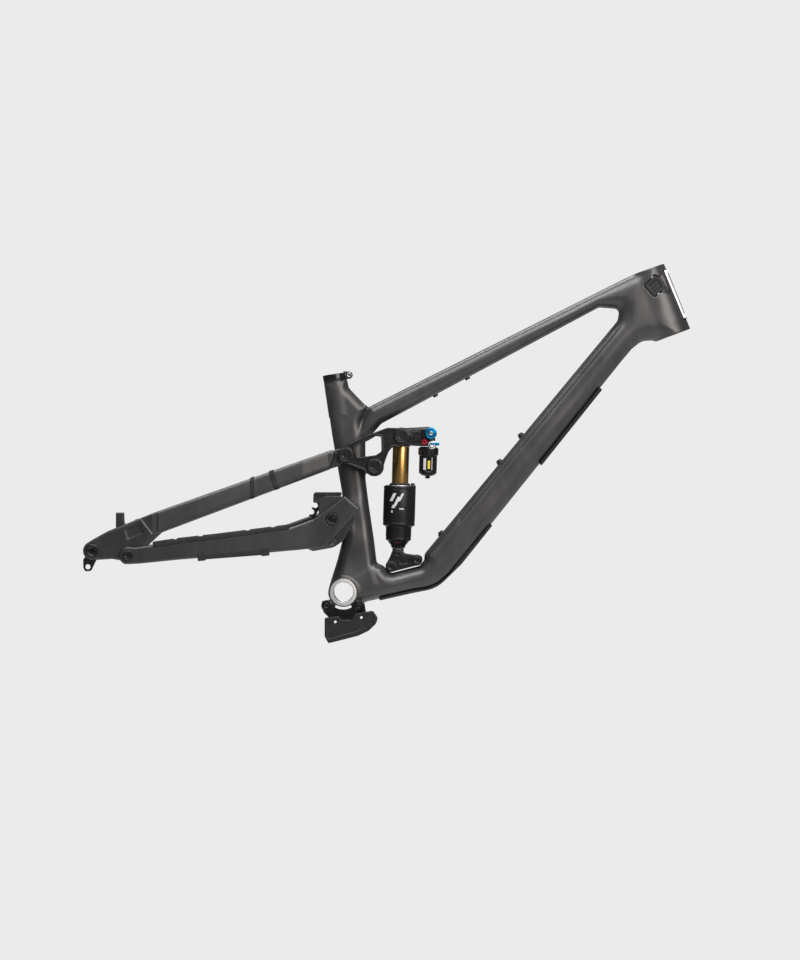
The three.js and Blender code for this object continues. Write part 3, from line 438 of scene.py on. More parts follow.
def principled(name, color, roughness, metallic=0.0, coat=0.0, coat_roughness=0.2, specular=0.5):
    material = bpy.data.materials.new(name)
    material.use_nodes = True
    shader = material.node_tree.nodes["Principled BSDF"]
    shader.inputs["Base Color"].default_value = (*color, 1)
    shader.inputs["Roughness"].default_value = roughness
    shader.inputs["Metallic"].default_value = metallic
    shader.inputs["Coat Weight"].default_value = coat
    shader.inputs["Coat Roughness"].default_value = coat_roughness
    shader.inputs["Specular IOR Level"].default_value = specular
    return material, material.node_tree, shader


def object_noise(tree, scale, detail, stretch=(1, 1, 1)):
    """A noise fixed to the object, in sizes per metre."""
    place = tree.nodes.new("ShaderNodeTexCoord")
    mapping = tree.nodes.new("ShaderNodeMapping")
    mapping.inputs["Scale"].default_value = stretch
    noise = tree.nodes.new("ShaderNodeTexNoise")
    noise.inputs["Scale"].default_value = scale
    noise.inputs["Detail"].default_value = detail
    tree.links.new(place.outputs["Object"], mapping.inputs["Vector"])
    tree.links.new(mapping.outputs["Vector"], noise.inputs["Vector"])
    return noise.outputs[0]


def spread(tree, value, low, high):
    """A noise value stretched to a range."""
    ranged = tree.nodes.new("ShaderNodeMapRange")
    ranged.inputs["From Min"].default_value = 0.3
    ranged.inputs["From Max"].default_value = 0.7
    ranged.inputs["To Min"].default_value = low
    ranged.inputs["To Max"].default_value = high
    tree.links.new(value, ranged.inputs["Value"])
    return ranged.outputs["Result"]


def two_colors(tree, value, low, high):
    ramp = tree.nodes.new("ShaderNodeValToRGB")
    ramp.color_ramp.elements[0].position = 0.35
    ramp.color_ramp.elements[0].color = (*low, 1)
    ramp.color_ramp.elements[1].position = 0.65
    ramp.color_ramp.elements[1].color = (*high, 1)
    tree.links.new(value, ramp.inputs["Fac"])
    return ramp.outputs["Color"]


def bump(tree, shader, value, strength, distance):
    node = tree.nodes.new("ShaderNodeBump")
    node.inputs["Strength"].default_value = strength
    node.inputs["Distance"].default_value = distance
    tree.links.new(value, node.inputs["Height"])
    tree.links.new(node.outputs["Normal"], shader.inputs["Normal"])


def edge_highlight_and_wear(tree, color, worn_and_lit, amount):
    """Lightens convex edges: partly wear, where handling polishes a finish, and partly a painted highlight
    along the edges.
    """
    geometry = tree.nodes.new("ShaderNodeNewGeometry")
    ranged = tree.nodes.new("ShaderNodeMapRange")
    ranged.inputs["From Min"].default_value = 0.52
    ranged.inputs["From Max"].default_value = 0.62
    ranged.inputs["To Max"].default_value = amount
    mix = tree.nodes.new("ShaderNodeMix")
    mix.data_type = "RGBA"
    mix.inputs["B"].default_value = (*worn_and_lit, 1)
    tree.links.new(geometry.outputs["Pointiness"], ranged.inputs["Value"])
    tree.links.new(ranged.outputs["Result"], mix.inputs["Factor"])
    tree.links.new(color, mix.inputs["A"])
    return mix.outputs["Result"]


def carbon_material(name, dark, light, roughness=(0.38, 0.43)):
    """Satin clear coat over a moulded laminate: a soft patchy grain, and a fine orange peel."""
    material, tree, shader = principled(name, light, 0.4, coat=0.3, coat_roughness=0.32)
    patches = object_noise(tree, 45, 1.5, (1, 1, 0.5))
    fibres = object_noise(tree, 120, 1, (1, 0.3, 0.3))
    tone = two_colors(tree, patches, dark, light)
    tree.links.new(tone, shader.inputs["Base Color"])
    tree.links.new(spread(tree, fibres, *roughness), shader.inputs["Roughness"])
    bump(tree, shader, object_noise(tree, 110, 2), 0.05, 0.0004)
    return material


def anodised_material(name, dark, light, roughness=(0.3, 0.42), metallic=0.6):
    """Bead-blasted and anodised aluminium, its edges painted a little bright: partly wear, partly a painted
    highlight.
    """
    material, tree, shader = principled(name, light, 0.36, metallic)
    grain = object_noise(tree, 700, 4)
    tone = two_colors(tree, grain, dark, light)
    worn_and_lit = tuple(min(1, 2.6 * c + 0.03) for c in light)
    # Convex edges are painted lighter: partly wear, partly a painted highlight.
    tree.links.new(edge_highlight_and_wear(tree, tone, worn_and_lit, 0.5), shader.inputs["Base Color"])
    tree.links.new(spread(tree, object_noise(tree, 130, 5), *roughness), shader.inputs["Roughness"])
    bump(tree, shader, object_noise(tree, 420, 2), 0.06, 0.0002)
    return material


def rubber_material(name, dark, light):
    """Moulded rubber: matt, with a fine pebbled skin."""
    material, tree, shader = principled(name, light, 0.72, specular=0.35)
    tone = two_colors(tree, object_noise(tree, 160, 5), dark, light)
    tree.links.new(tone, shader.inputs["Base Color"])
    tree.links.new(spread(tree, object_noise(tree, 90, 3), 0.62, 0.82), shader.inputs["Roughness"])
    bump(tree, shader, object_noise(tree, 420, 3), 0.16, 0.0003)
    return material


def plastic_material(name, dark, light):
    """Glass-filled nylon with its spark-eroded mould grain, its convex edges shifted towards a dark grey:
    on the black nylon, partly wear and partly a painted highlight.
    """
    material, tree, shader = principled(name, light, 0.5, specular=0.32)
    tone = two_colors(tree, object_noise(tree, 240, 5), dark, light)
    # Convex edges are painted towards a dark grey, lighter on the black nylon: partly wear, partly a
    # painted highlight.
    tree.links.new(edge_highlight_and_wear(tree, tone, (0.1, 0.1, 0.1), 0.35), shader.inputs["Base Color"])
    tree.links.new(spread(tree, object_noise(tree, 60, 4), 0.42, 0.6), shader.inputs["Roughness"])
    bump(tree, shader, object_noise(tree, 420, 3), 0.12, 0.0003)
    return material


def machined_material(name, dark, light, roughness=(0.2, 0.34), stretch=(1, 8, 1)):
    """Turned metal: fine marks run round the axis, which lies across the frame."""
    material, tree, shader = principled(name, light, 0.28, 1.0)
    marks = object_noise(tree, 500, 3, stretch)
    tree.links.new(two_colors(tree, marks, dark, light), shader.inputs["Base Color"])
    tree.links.new(spread(tree, marks, *roughness), shader.inputs["Roughness"])
    bump(tree, shader, marks, 0.05, 0.0002)
    return material


CARBON = carbon_material("satin_carbon", (0.017, 0.0172, 0.018), (0.026, 0.026, 0.0268))
STAY_CARBON = carbon_material("stay_carbon", (0.009, 0.0095, 0.0105), (0.015, 0.0155, 0.0165))
BLACK = anodised_material("black_anodised", (0.012, 0.012, 0.013), (0.02, 0.02, 0.022))
GLOSS_BLACK = anodised_material(
    "gloss_black_anodised", (0.009, 0.009, 0.01), (0.016, 0.016, 0.017), (0.14, 0.24), 0.4
)
RUBBER = rubber_material("moulded_rubber", (0.008, 0.008, 0.009), (0.013, 0.013, 0.013))
PLASTIC = plastic_material("grained_nylon", (0.006, 0.006, 0.007), (0.011, 0.011, 0.011))
BOLT = anodised_material(
    "bolt_anodised", (0.022, 0.022, 0.024), (0.034, 0.034, 0.036), (0.24, 0.34), 0.7
)
SILVER = machined_material("machined_aluminium", (0.78, 0.78, 0.78), (0.86, 0.86, 0.86), (0.32, 0.42))
# A pale colour for the head badge's inlay: a painted highlight, where light catches the head tube's nose.
PAINTED_HIGHLIGHT = plastic_material("painted_highlight_inlay", (0.68, 0.68, 0.67), (0.78, 0.78, 0.77))
STEEL = machined_material("ground_steel", (0.36, 0.36, 0.37), (0.52, 0.52, 0.53))
GOLD = machined_material(
    "gold_stanchion", (0.5, 0.3, 0.1), (0.58, 0.36, 0.13), (0.24, 0.32), (6, 6, 0.5)
)
BLUE = anodised_material("blue_anodised", (0.005, 0.16, 0.36), (0.01, 0.23, 0.46), (0.2, 0.3), 0.85)
RED = anodised_material("red_anodised", (0.36, 0.012, 0.035), (0.46, 0.02, 0.05), (0.2, 0.3), 0.85)
LABEL = plastic_material("label_print", (0.42, 0.42, 0.43), (0.52, 0.52, 0.53))
LABEL_WARM = plastic_material("label_accent", (0.5, 0.42, 0.03), (0.6, 0.5, 0.05))

# ---------------------------------------------------------------- front triangle

SEAT_TUBE = [
    (-33.2, 365.2), (4.6, 371), (8.5, 357, 8), (35.6, 328.6, 8), (44, 322.6, 5), (32, 296, 20),
    (38, 262, 20), (38.4, 196, 14), (44, 152, 40), (53, 92, 30), (58, 50, 10), (70, 10), (35.6, -18, 20),
    (16, -24, 14), (-14, -25, 16), (-27, -6, 14), (-22, 20, 12), (-10.8, 55.6, 30), (-1.6, 92, 30),
    (0, 140, 40), (-2.9, 174.4, 30), (-20.4, 275.8, 60),
]
MAIN_TUBES = [
    (12, 258, 10), (44, 322.6, 4), (58, 330, 8), (497, 550.2, 40), (524, 560.6), (541.6, 567),
    (584.2, 451.6), (547.7, 439.6, 8), (521, 438.4, 25), (503, 424, 25), (483, 400), (203.4, 50.3, 60),
    (161, 9, 60), (119.5, 1, 40), (35.6, -18, 30), (8, -22), (8, 30), (40, 48, 10), (55, 52, 10),
    (69, 46, 8), (82, 32.4, 9), (133, 45.4, 6), (141, 56, 6), (141, 66, 14), (189, 123.7, 60),
    (479, 474, 14), (482, 494, 14), (446, 497, 12), (100, 312, 30), (66, 294, 18), (42, 266, 10),
]
FRONT_HALF_WIDTH = [
    (0, 0, 34), (60, 5, 33), (130, 35, 31), (200, 95, 30), (340, 260, 29), (470, 430, 28),
    (560, 540, 26), (570, 460, 30), (430, 520, 22), (300, 430, 21), (100, 325, 20), (-14, 360, 19.3),
    (0, 300, 19.5), (10, 240, 20), (45, 270, 20), (20, 185, 22), (20, 140, 26), (25, 70, 30),
]
FRONT_ROUNDING = [
    (0, 0, 16), (60, 5, 20), (130, 35, 24), (200, 95, 27), (340, 260, 28), (450, 400, 30),
    (520, 500, 36), (560, 540, 30), (570, 460, 30), (430, 510, 20), (300, 430, 18), (100, 325, 19),
]
PORT = [(522, 533.5, 3), (541, 553, 3), (553.6, 549, 2), (561, 528, 2), (541, 512.5, 3)]
PORT_WEDGE = [(548, 548), (558, 560), (573.5, 521), (556, 522)]
GUIDE_BOLTS = [(-29.1, -23.3), (27.6, -24.1)]
GUIDE_FLANGE = [(-34, -16), (-10, -10), (14, -10), (32, -17), (24, -30, 4), (-26, -30, 4)]
MAIN_BOSS_WEB = [(-20, 144, 2), (14, 150), (14, 104), (-20, 111, 2)]
BOTTLE_BOLTS = [((171.4, 101.4), 6), ((273, 226.2), 4.6), ((310.5, 272.6), 4.6)]


def groove(distance, at, width, depth):
    """How far a soft groove lowers a surface, at a distance in from an edge."""
    return depth * np.exp(-(((distance - at) / width) ** 2))


def line_side(grid, start, end):
    """Distance to the left of a line in the side plane, and distance along it."""
    run = np.array(end, float) - np.array(start, float)
    length = np.hypot(*run)
    dx, dz = grid.x - start[0], grid.z - start[1]
    left = (run[0] * dz - run[1] * dx) / length
    return left, (run[0] * dx + run[1] * dz) / length


def front_field(grid):
    half = stations(grid, FRONT_HALF_WIDTH)
    seat = section(grid.plan(SEAT_TUBE), grid.y, half, 19, 2.3)
    rounding = stations(grid, FRONT_ROUNDING)
    tubes = section(grid.plan(MAIN_TUBES), grid.y, half + 1.2, rounding, 2.5)
    left, run = line_side(grid, (189, 123.7), (479, 474))
    on_down_tube = np.clip(run / 12, 0, 1) * np.clip((455 - run) / 20, 0, 1)
    tubes = tubes + groove(-left, 9, 2.6, 1.3) * on_down_tube
    body = union(seat, tubes, 4)
    radial, height = grid.along(HEAD_BOTTOM, HEAD_LEAN)
    head = radial - (31 - 4 * height / HEAD_LENGTH)
    head = common(head, np.abs(height - HEAD_LENGTH / 2) - HEAD_LENGTH / 2, 1.5)
    body = union(body, head, 10)
    radial, height = grid.along(SEAT_TUBE_TOP, SEAT_LEAN)
    neck = common(radial - 19.3, slab(height, -60, 0), 1)
    spigot = common(radial - 17.6, slab(height, -5, 10), 1)
    body = union(union(body, neck, 5), spigot, 0.5)
    for centre, radius, reach in ((MAIN_PIVOT, 17, 34), (ROCKER_PIVOT, 16.6, 31.2), ((0, 0), 24.8, 35.2)):
        body = union(body, disc_field(grid, centre, radius, -reach, reach, 2), 6)
    body = union(body, plate_field(grid, MAIN_BOSS_WEB, -24, 24, 3), 6)
    for centre in GUIDE_BOLTS:
        body = union(body, disc_field(grid, centre, 8, -34, -24), 3)
    return union(body, plate_field(grid, GUIDE_FLANGE, -33, -24), 3)


def front_bores(grid, body):
    body = without(body, grid.across((0, 0)) - 22.8, 0.8)
    body = without(body, grid.across(MAIN_PIVOT) - 7.8, 0.8)
    body = without(body, grid.across(ROCKER_PIVOT) - 6.8, 0.8)
    radial, height = grid.along(HEAD_BOTTOM, HEAD_LEAN)
    body = without(body, radial - 24, 1)
    body = without(body, np.maximum(radial - 28, height - 20), 1)
    body = without(body, np.maximum(radial - 22.2, HEAD_LENGTH - 20 - height), 1)
    radial, height = grid.along(SEAT_TUBE_TOP, SEAT_LEAN)
    body = without(body, np.maximum(radial - 15.8, -185 - height), 1)
    recess = np.maximum(-grid.plan(PORT), 24.3 - np.abs(grid.y))
    body = without(body, recess, 1.0)
    radial, _ = grid.along(HEAD_BOTTOM, HEAD_LEAN)
    facet = np.maximum(22.6 - 0.26 * (grid.x - 553) - np.abs(grid.y), 25.4 - radial)
    body = without(body, np.maximum(-grid.plan(PORT_WEDGE), facet), 0.8)
    body = without(body, arc_slot(grid, 25.4, 30.5, -90, 33), 0.5)
    for centre in GUIDE_BOLTS:
        body = without(body, np.maximum(grid.across(centre) - 3.1, grid.y + 20), 0.6)
    for centre, _ in BOTTLE_BOLTS:
        radial, height = grid.along(centre, DOWN_TUBE_ACROSS)
        body = without(body, np.maximum(radial - 2.9, np.abs(height) - 14), 0.6)
    return body


def head_ends(grid, body):
    """Trims what the side plane's outline leaves past the head tube's two faces."""
    _, height = grid.along(HEAD_BOTTOM, HEAD_LEAN)
    above = common(body, height - HEAD_LENGTH, 1.2)
    below = common(above, -height, 1.2)
    return np.where(grid.x > 545, below, np.where(grid.x > 420, above, body))


def offset_path(path, distance):
    """A line of points moved sideways, to its left when positive."""
    path = np.array(path, float)
    run = np.gradient(path, axis=0)
    run /= np.hypot(run[:, 0], run[:, 1])[:, None]
    return path + distance * np.stack([-run[:, 1], run[:, 0]], 1)


def front_guard(grid, path, proud, wrap):
    """Moulded rubber round the lower edge of the tubes, along a path on that edge."""
    half = stations(grid, FRONT_HALF_WIDTH) + 1.2
    rounding = stations(grid, FRONT_ROUNDING)
    inside = grid.plan(MAIN_TUBES)
    outer = section(inside + proud, grid.y, half + 1.3, rounding, 2.5)
    inner = section(inside - 2, grid.y, half - 2, rounding, 2.5)
    band = [(*spot, 4) for spot in offset_path(path, -proud - 3)]
    band += [(*spot, 6) for spot in offset_path(path, wrap)[::-1]]
    return common(without(outer, inner, 0.5), -grid.plan(band), 2.5)


def build_front():
    grid = Grid((-52, -46, -44), (616, 46, 588), 1.3)
    body = front_bores(grid, head_ends(grid, front_field(grid)))
    shell = field_piece("front_triangle_shell", grid, body, 3, True)
    finish(shell, CARBON, "carbon", "front_triangle")


LOWER_GUARD = [(62, -12), (90, -5.5), (119.5, 1), (146, 5), (166, 13), (185, 29), (203.4, 52), (258, 118)]
UPPER_GUARD = [(343, 222.5), (378, 266.5), (413, 310.5), (449, 356)]


def build_front_guards():
    grid = Grid((40, -38, -30), (280, 38, 150), 1.2)
    lower = front_guard(grid, LOWER_GUARD, 3.4, 2.5)
    piece = field_piece("belly_guard", grid, lower)
    finish(piece, RUBBER, "rubber", "downtube_guard_lower")
    grid = Grid((320, -38, 195), (475, 38, 385), 1.2)
    upper = front_guard(grid, UPPER_GUARD, 5.0, 2.5)
    piece = field_piece("shuttle_guard", grid, upper)
    finish(piece, RUBBER, "rubber", "downtube_guard_upper")


# ---------------------------------------------------------------- chainstay

CHAINSTAY = [
    (30.6, 145.4, 2), (3.5, 168.2, 3), (-52, 127.4, 20), (-91.6, 113.3, 60), (-212.5, 97.8),
    (-281.7, 90), (-357, 79.2), *arc(HORST_PIVOT, 15.6, 70, 252), (-350.8, 51.1, 30), (-281.7, 58),
    (-143.4, 68.4, 100), (-74.3, 74.6, 60), (-30, 79.8, 14),
]
LEFT_ARM = [
    *arc(MAIN_PIVOT, 19, -50, 80), (-60, 132, 20), (-110, 114, 60), (-212.5, 97.8), (-357, 79.2),
    *arc(HORST_PIVOT, 15.6, 70, 252), (-350.8, 51.1, 30), (-281.7, 58), (-143.4, 68.4, 100),
    (-74.3, 76, 60), (-30, 84, 14),
]
RIGHT_ARM_MIDDLE = [(-50, 66), (-110, 68), (-200, 75), (-300, 83), (-345, 87.7)]
LEFT_ARM_MIDDLE = [(-50, 46), (-110, 54), (-200, 67), (-300, 81), (-345, 87.7)]
RIGHT_ARM_HALF = [(-60, 6), (-110, 9), (-200, 9.5), (-300, 8), (-345, 4.3)]
LEFT_ARM_HALF = [(-60, 7), (-110, 9), (-200, 9.5), (-300, 8), (-345, 4.3)]
YOKE = [(-60, 78, 4), (-59, 103, 6), (-34, 105, 6), (-12, 97, 5), (-9.5, 88, 4), (-16, 79, 4), (-52, 73, 4)]
YOKE_LOW = [(-60, 76, 3), (-56, 85.4, 3), (-22, 85.4, 3), (-18, 80, 3), (-52, 73, 4)]
HORST_EAR_FACE = 83.3


def arm_field(grid, corners, side, middle, half):
    """A flat-faced stay with small rounds along its edges."""
    centre = side * along_x(grid, middle)
    return section(grid.plan(corners), grid.y - centre, along_x(grid, half), 6.5, 3.2)


def build_chainstay():
    grid = Grid((-394, -98, 42), (38, 98, 176), 1.2)
    body = arm_field(grid, CHAINSTAY, RIGHT, RIGHT_ARM_MIDDLE, RIGHT_ARM_HALF)
    left = arm_field(grid, LEFT_ARM, LEFT, LEFT_ARM_MIDDLE, LEFT_ARM_HALF)
    body = union(body, left)
    body = union(body, plate_field(grid, YOKE, -62, 43, 4), 5)
    body = union(body, plate_field(grid, YOKE_LOW, -64, -30, 3), 4)
    pivot = grid.across(MAIN_PIVOT)
    for radius, near, far in ((14.3, -69, -30), (11, -90, -60), (14.3, 30, 50), (11.2, 30, 80)):
        body = without(body, np.maximum(pivot - radius, slab(grid.y, near, far)), 0.6)
    body = without(body, disc_field(grid, MAIN_PIVOT, 43.5, -56.4, -43.6), 1)
    horst = grid.across(HORST_PIVOT)
    body = without(body, horst - 4.3, 0.6)
    body = without(body, np.maximum(horst - 22, np.abs(np.abs(grid.y) - 72) - HORST_EAR_FACE + 72), 1)
    piece = field_piece("chainstay_body", grid, body)
    finish(piece, STAY_CARBON, "carbon", "chainstay")


def upper_edge(x):
    """The height of the right stay's upper edge."""
    return np.interp(x, (-357, -281.7, -212.5, -91.6), (79.2, 90, 97.8, 113.3))


def lower_edge(x):
    return np.interp(x, (-350.8, -281.7, -143.4, -74.3), (51.1, 58, 68.4, 74.6))


def build_stay_guards():
    """The ribbed guard above the right stay and the clipped pad below it."""
    grid = Grid((-338, -100, 66), (-84, -52, 130), 0.9)
    centre = -along_x(grid, RIGHT_ARM_MIDDLE)
    half = along_x(grid, RIGHT_ARM_HALF)
    height = grid.z - upper_edge(grid.x).astype(np.float32)
    inset = np.abs(grid.y - centre) - half
    ends = np.abs(grid.x + 210.5) - 118
    segment = ((np.abs(grid.x + 205) % 44) < 37) * (np.abs(grid.y - centre) < half * 0.7)
    crown = common(height - 4.4 - 1.5 * segment, inset - 1.3, 1.5)
    saddle = without(crown, common(inset + 0.3, height - 1.2, 0.5), 0.5)
    skirt = common(saddle, -height - 3.6, 1)
    upper = common(skirt, ends, 3)
    finish(field_piece("stay_guard_upper", grid, upper), RUBBER, "rubber", "chainstay_guard_upper")
    grid = Grid((-262, -100, 46), (-118, -52, 92), 0.9)
    centre = -along_x(grid, RIGHT_ARM_MIDDLE)
    half = along_x(grid, RIGHT_ARM_HALF)
    below = lower_edge(grid.x).astype(np.float32) - grid.z
    inset = np.abs(grid.y - centre) - half
    ends = np.abs(grid.x + 189) - 58
    clip = np.minimum(np.abs(grid.x + 244), np.abs(grid.x + 134)) - 6.5
    tray = common(common(below - 3.0, inset - 1.2, 1.4), common(-7 - below, ends, 1), 1)
    clips = common(common(below - 5.0, inset - 2.0, 1.2), common(-9 - below, clip, 1), 1)
    cup = without(union(tray, clips, 0.8), common(inset + 0.3, below - 0.4, 0.5), 0.5)
    finish(field_piece("stay_guard_lower", grid, cup), RUBBER, "rubber", "chainstay_guard_lower")


# ---------------------------------------------------------------- seatstays

SEATSTAY = [
    (-10, 251.6, 9), (-324, 140, 40), (-405.8, 107.3, 20), (-433.4, 92, 10),
    *arc(REAR_AXLE, 16.5, 128, 262), (-419.6, 57.6, 8), (-399, 59, 8),
    *arc(HORST_PIVOT, 14.8, 215, 380), (-340, 86, 12), (-322, 102.6, 14), (-22, 215, 9),
]
STAY_MIDDLE = [(-26, 37), (-70, 45), (-150, 53), (-250, 66), (-330, 77), (-350, 78.5)]
STAY_HALF = [(-26, 9), (-70, 9.5), (-250, 9), (-330, 6.4), (-350, 4.5)]
STAY_TONGUE = [(-45, 236, 4), (-8, 250), (2, 249), (2, 227), (-8, 220), (-45, 208, 4)]
POCKET = [(-376, 110, 2.5), (-351, 121, 2.5), (-344.5, 105, 2.5), (-371.5, 93.5, 2.5)]
STEP = ((-344, 122), (-331, 104))
HANGER = [
    *arc(REAR_AXLE, 13, -35, 215), (-449, 58, 6), (-448.6, 44, 4), (-446, 37.6, 5), (-435, 38, 6),
    (-430.4, 48, 6),
]
REAR_POST = [(-403, 100, 2), (-403, 138, 1.5), (-389, 138, 1.5), (-388, 116, 6), (-376, 112, 8)]
HOSE_LOBE = (-366, 122)
HOSE_FOOT = [(-371, 112), (-371, 121, 2), (-349, 126.6, 2), (-343, 124, 2), (-349, 116)]
FRONT_POST = [(-326, 120, 2), (-325, 140, 1.5), (-313, 140, 1.5), (-306, 124, 8)]


def stay_section(grid, side, grow=0.0):
    centre = side * along_x(grid, STAY_MIDDLE)
    half = along_x(grid, STAY_HALF) + grow
    return section(grid.plan(SEATSTAY) + grow, grid.y - centre, half, 8, 3.0)


def stay_field(grid, side):
    body = stay_section(grid, side)
    outer = grid.y * side
    ahead, _ = line_side(grid, *STEP)
    skin = along_x(grid, STAY_MIDDLE) + along_x(grid, STAY_HALF)
    step_down = common(-ahead, skin - 1.1 - outer, 0.6)
    behind = common(step_down, grid.x + 320, 1)
    body = without(body, behind, 0.8)
    pocket = common(-grid.plan(POCKET), skin - 2.3 - outer, 0.6)
    body = without(body, pocket, 0.8)
    tongue = union(disc_field(grid, STAY_PIVOT, 11.5, *sorted((side * 24, side * 31.4))),
                   plate_field(grid, STAY_TONGUE, *sorted((side * 24, side * 31.4))), 2)
    scallop = np.maximum(grid.across(STAY_PIVOT) - 15.2, 31.6 - outer)
    body = without(body, scallop, 1)
    relief = np.maximum(-40 - grid.x, outer - 23.8)
    body = without(body, relief, 0.8)
    body = union(body, tongue, 2)
    horst = grid.across(HORST_PIVOT)
    body = without(body, np.maximum(horst - 40, HORST_EAR_FACE - 0.3 - outer), 1)
    body = without(body, grid.across(STAY_PIVOT) - 8.2, 0.5)
    body = without(body, horst - 4.3, 0.5)
    return without(body, grid.across(REAR_AXLE) - 6.4, 0.8)


def build_seatstays():
    grid = Grid((-458, -92, 46), (20, -20, 262), 1.1)
    body = stay_field(grid, RIGHT)
    body = without(body, np.maximum(-grid.plan(HANGER) - 0.6, -grid.y - 78), 0.5)
    finish(field_piece("seatstay_right_body", grid, body), STAY_CARBON, "carbon", "seatstay_right")
    grid = Grid((-458, 20, 46), (20, 92, 262), 1.1)
    body = stay_field(grid, LEFT)
    body = union(body, plate_field(grid, REAR_POST, 62, 80, 1.5), 4)
    body = union(body, plate_field(grid, FRONT_POST, 56, 78, 1.5), 4)
    finish(field_piece("seatstay_left_body", grid, body), STAY_CARBON, "carbon", "seatstay_left")


STRAPS = [((-158, 210), (-156.5, 166), 7), ((-127, 218), (-114, 178), 9)]


def build_hose_clip():
    """The small two-lobed clip on the left stay, ahead of the rear brake post."""
    grid = Grid((-378, 60, 108), (-336, 84, 132), 0.5)
    rear_lobe = disc_field(grid, HOSE_LOBE, 4.6, 66, 76, 1)
    front_lobe = disc_field(grid, (-356, 125.4), 4, 66, 76, 1)
    lobes = union(rear_lobe, front_lobe, 1)
    foot = plate_field(grid, HOSE_FOOT, 64, 77)
    clip = without(union(lobes, foot, 1.5), grid.across(HOSE_LOBE) - 2.1, 0.4)
    finish(field_piece("brake_hose_clip", grid, clip), PLASTIC, "plastic", body="seatstay")


def build_straps():
    """Two rubber bands round the right stay."""
    grid = Grid((-180, -72, 150), (-90, -34, 232), 0.8)
    skin = common(stay_section(grid, RIGHT, 1.5), -stay_section(grid, RIGHT, -0.8), 0.4)
    for i, (top, foot, width) in enumerate(STRAPS):
        across_band, _ = line_side(grid, foot, top)
        band = common(skin, np.abs(across_band) - width / 2, 1)
        piece = field_piece(f"stay_band_{i + 1}", grid, band)
        finish(piece, RUBBER, "rubber", body="seatstay")


# ---------------------------------------------------------------- bolts and bearings


def socket_profile(base, top, radius, socket, depth, rim=0.0):
    """A round head from its seat to its face, with a hexagon socket and an optional raised rim."""
    up = 1 if top > base else -1
    floor = top - up * (0.8 if rim else 0)
    face = [(0, base), (radius, base), (radius, top - up * 0.9), (radius - 0.9, top)]
    if rim:
        face += [(radius - rim, top), (radius - rim - 0.7, floor)]
    face += [(socket * 1.3, floor), (socket, floor - up * 0.35, hexagon)]
    return face + [(socket, floor - up * depth, hexagon), (0, floor - up * depth)]


def socket_bolt(name, place, base, top, radius, socket, depth=2.4, rim=0.0):
    return turned(name, place, socket_profile(base, top, radius, socket, depth, rim), ease=0.25)


def shank(name, place, radius, start, end):
    return turned(name, place, [(0, start), (radius, start), (radius, end), (0, end)], 32)


def build_front_bolts():
    for i, (centre, radius) in enumerate(BOTTLE_BOLTS):
        place = leaning(centre, DOWN_TUBE_ACROSS)
        head = socket_bolt(f"cage_head_{i}", place, 2.4, 5.4, min(radius, 4.8), 2.0, 1.6)
        washer = [(0, -3), (radius + 1.6, -3), (radius + 1, 2.4), (0, 2.4)]
        piece = joined(f"cage_bolt_{i + 1}", head, turned(f"cage_washer_{i}", place, washer, 48))
        finish(piece, GLOSS_BLACK, "black_alloy", f"bottle_bolt_{i + 1}")
    for i, centre in enumerate([(160, 344.2), (216, 374.1)]):
        piece = socket_bolt(f"tube_bolt_{i + 1}", leaning(centre, 153.4), -2, 3.6, 4.6, 2.0, 1.6)
        finish(piece, GLOSS_BLACK, "black_alloy", body="front")
    for i, centre in enumerate(GUIDE_BOLTS):
        place = across(centre)
        head = socket_bolt(f"guide_head_{i}", place, -37.9, -41.4, 5.4, 2.5)
        piece = joined(f"guide_bolt_{i + 1}", head, shank(f"guide_shank_{i}", place, 2.8, -38, -26))
        finish(piece, BOLT, "black_alloy", f"chainguide_bolt_{i + 1}")
    for i, centre in enumerate(SHOCK_MOUNT_BOLTS):
        place = across(centre)
        head = socket_bolt(f"mount_head_{i}", place, -20.3, -23.4, 7.4, 3.0, 2.2, 1.3)
        tip = socket_bolt(f"mount_tip_{i}", place, 20.3, 23, 7, 3.0, 1.8, 1.3)
        piece = joined(f"mount_bolt_{i + 1}", head, tip, shank(f"mount_shank_{i}", place, 4, -20.5, 20.5))
        finish(piece, BOLT, "black_alloy", f"shock_mount_bolt_{i + 1}")
    place = across(SHOCK_BOTTOM)
    head = socket_bolt("eyelet_head", place, -20.3, -23, 6.2, 2.6, 2)
    piece = joined("eyelet_bolt", head, shank("eyelet_shank", place, 4, -20.5, 22.6))
    finish(piece, BOLT, "black_alloy", "shock_eyelet_bolt")
    build_pivot_hardware()


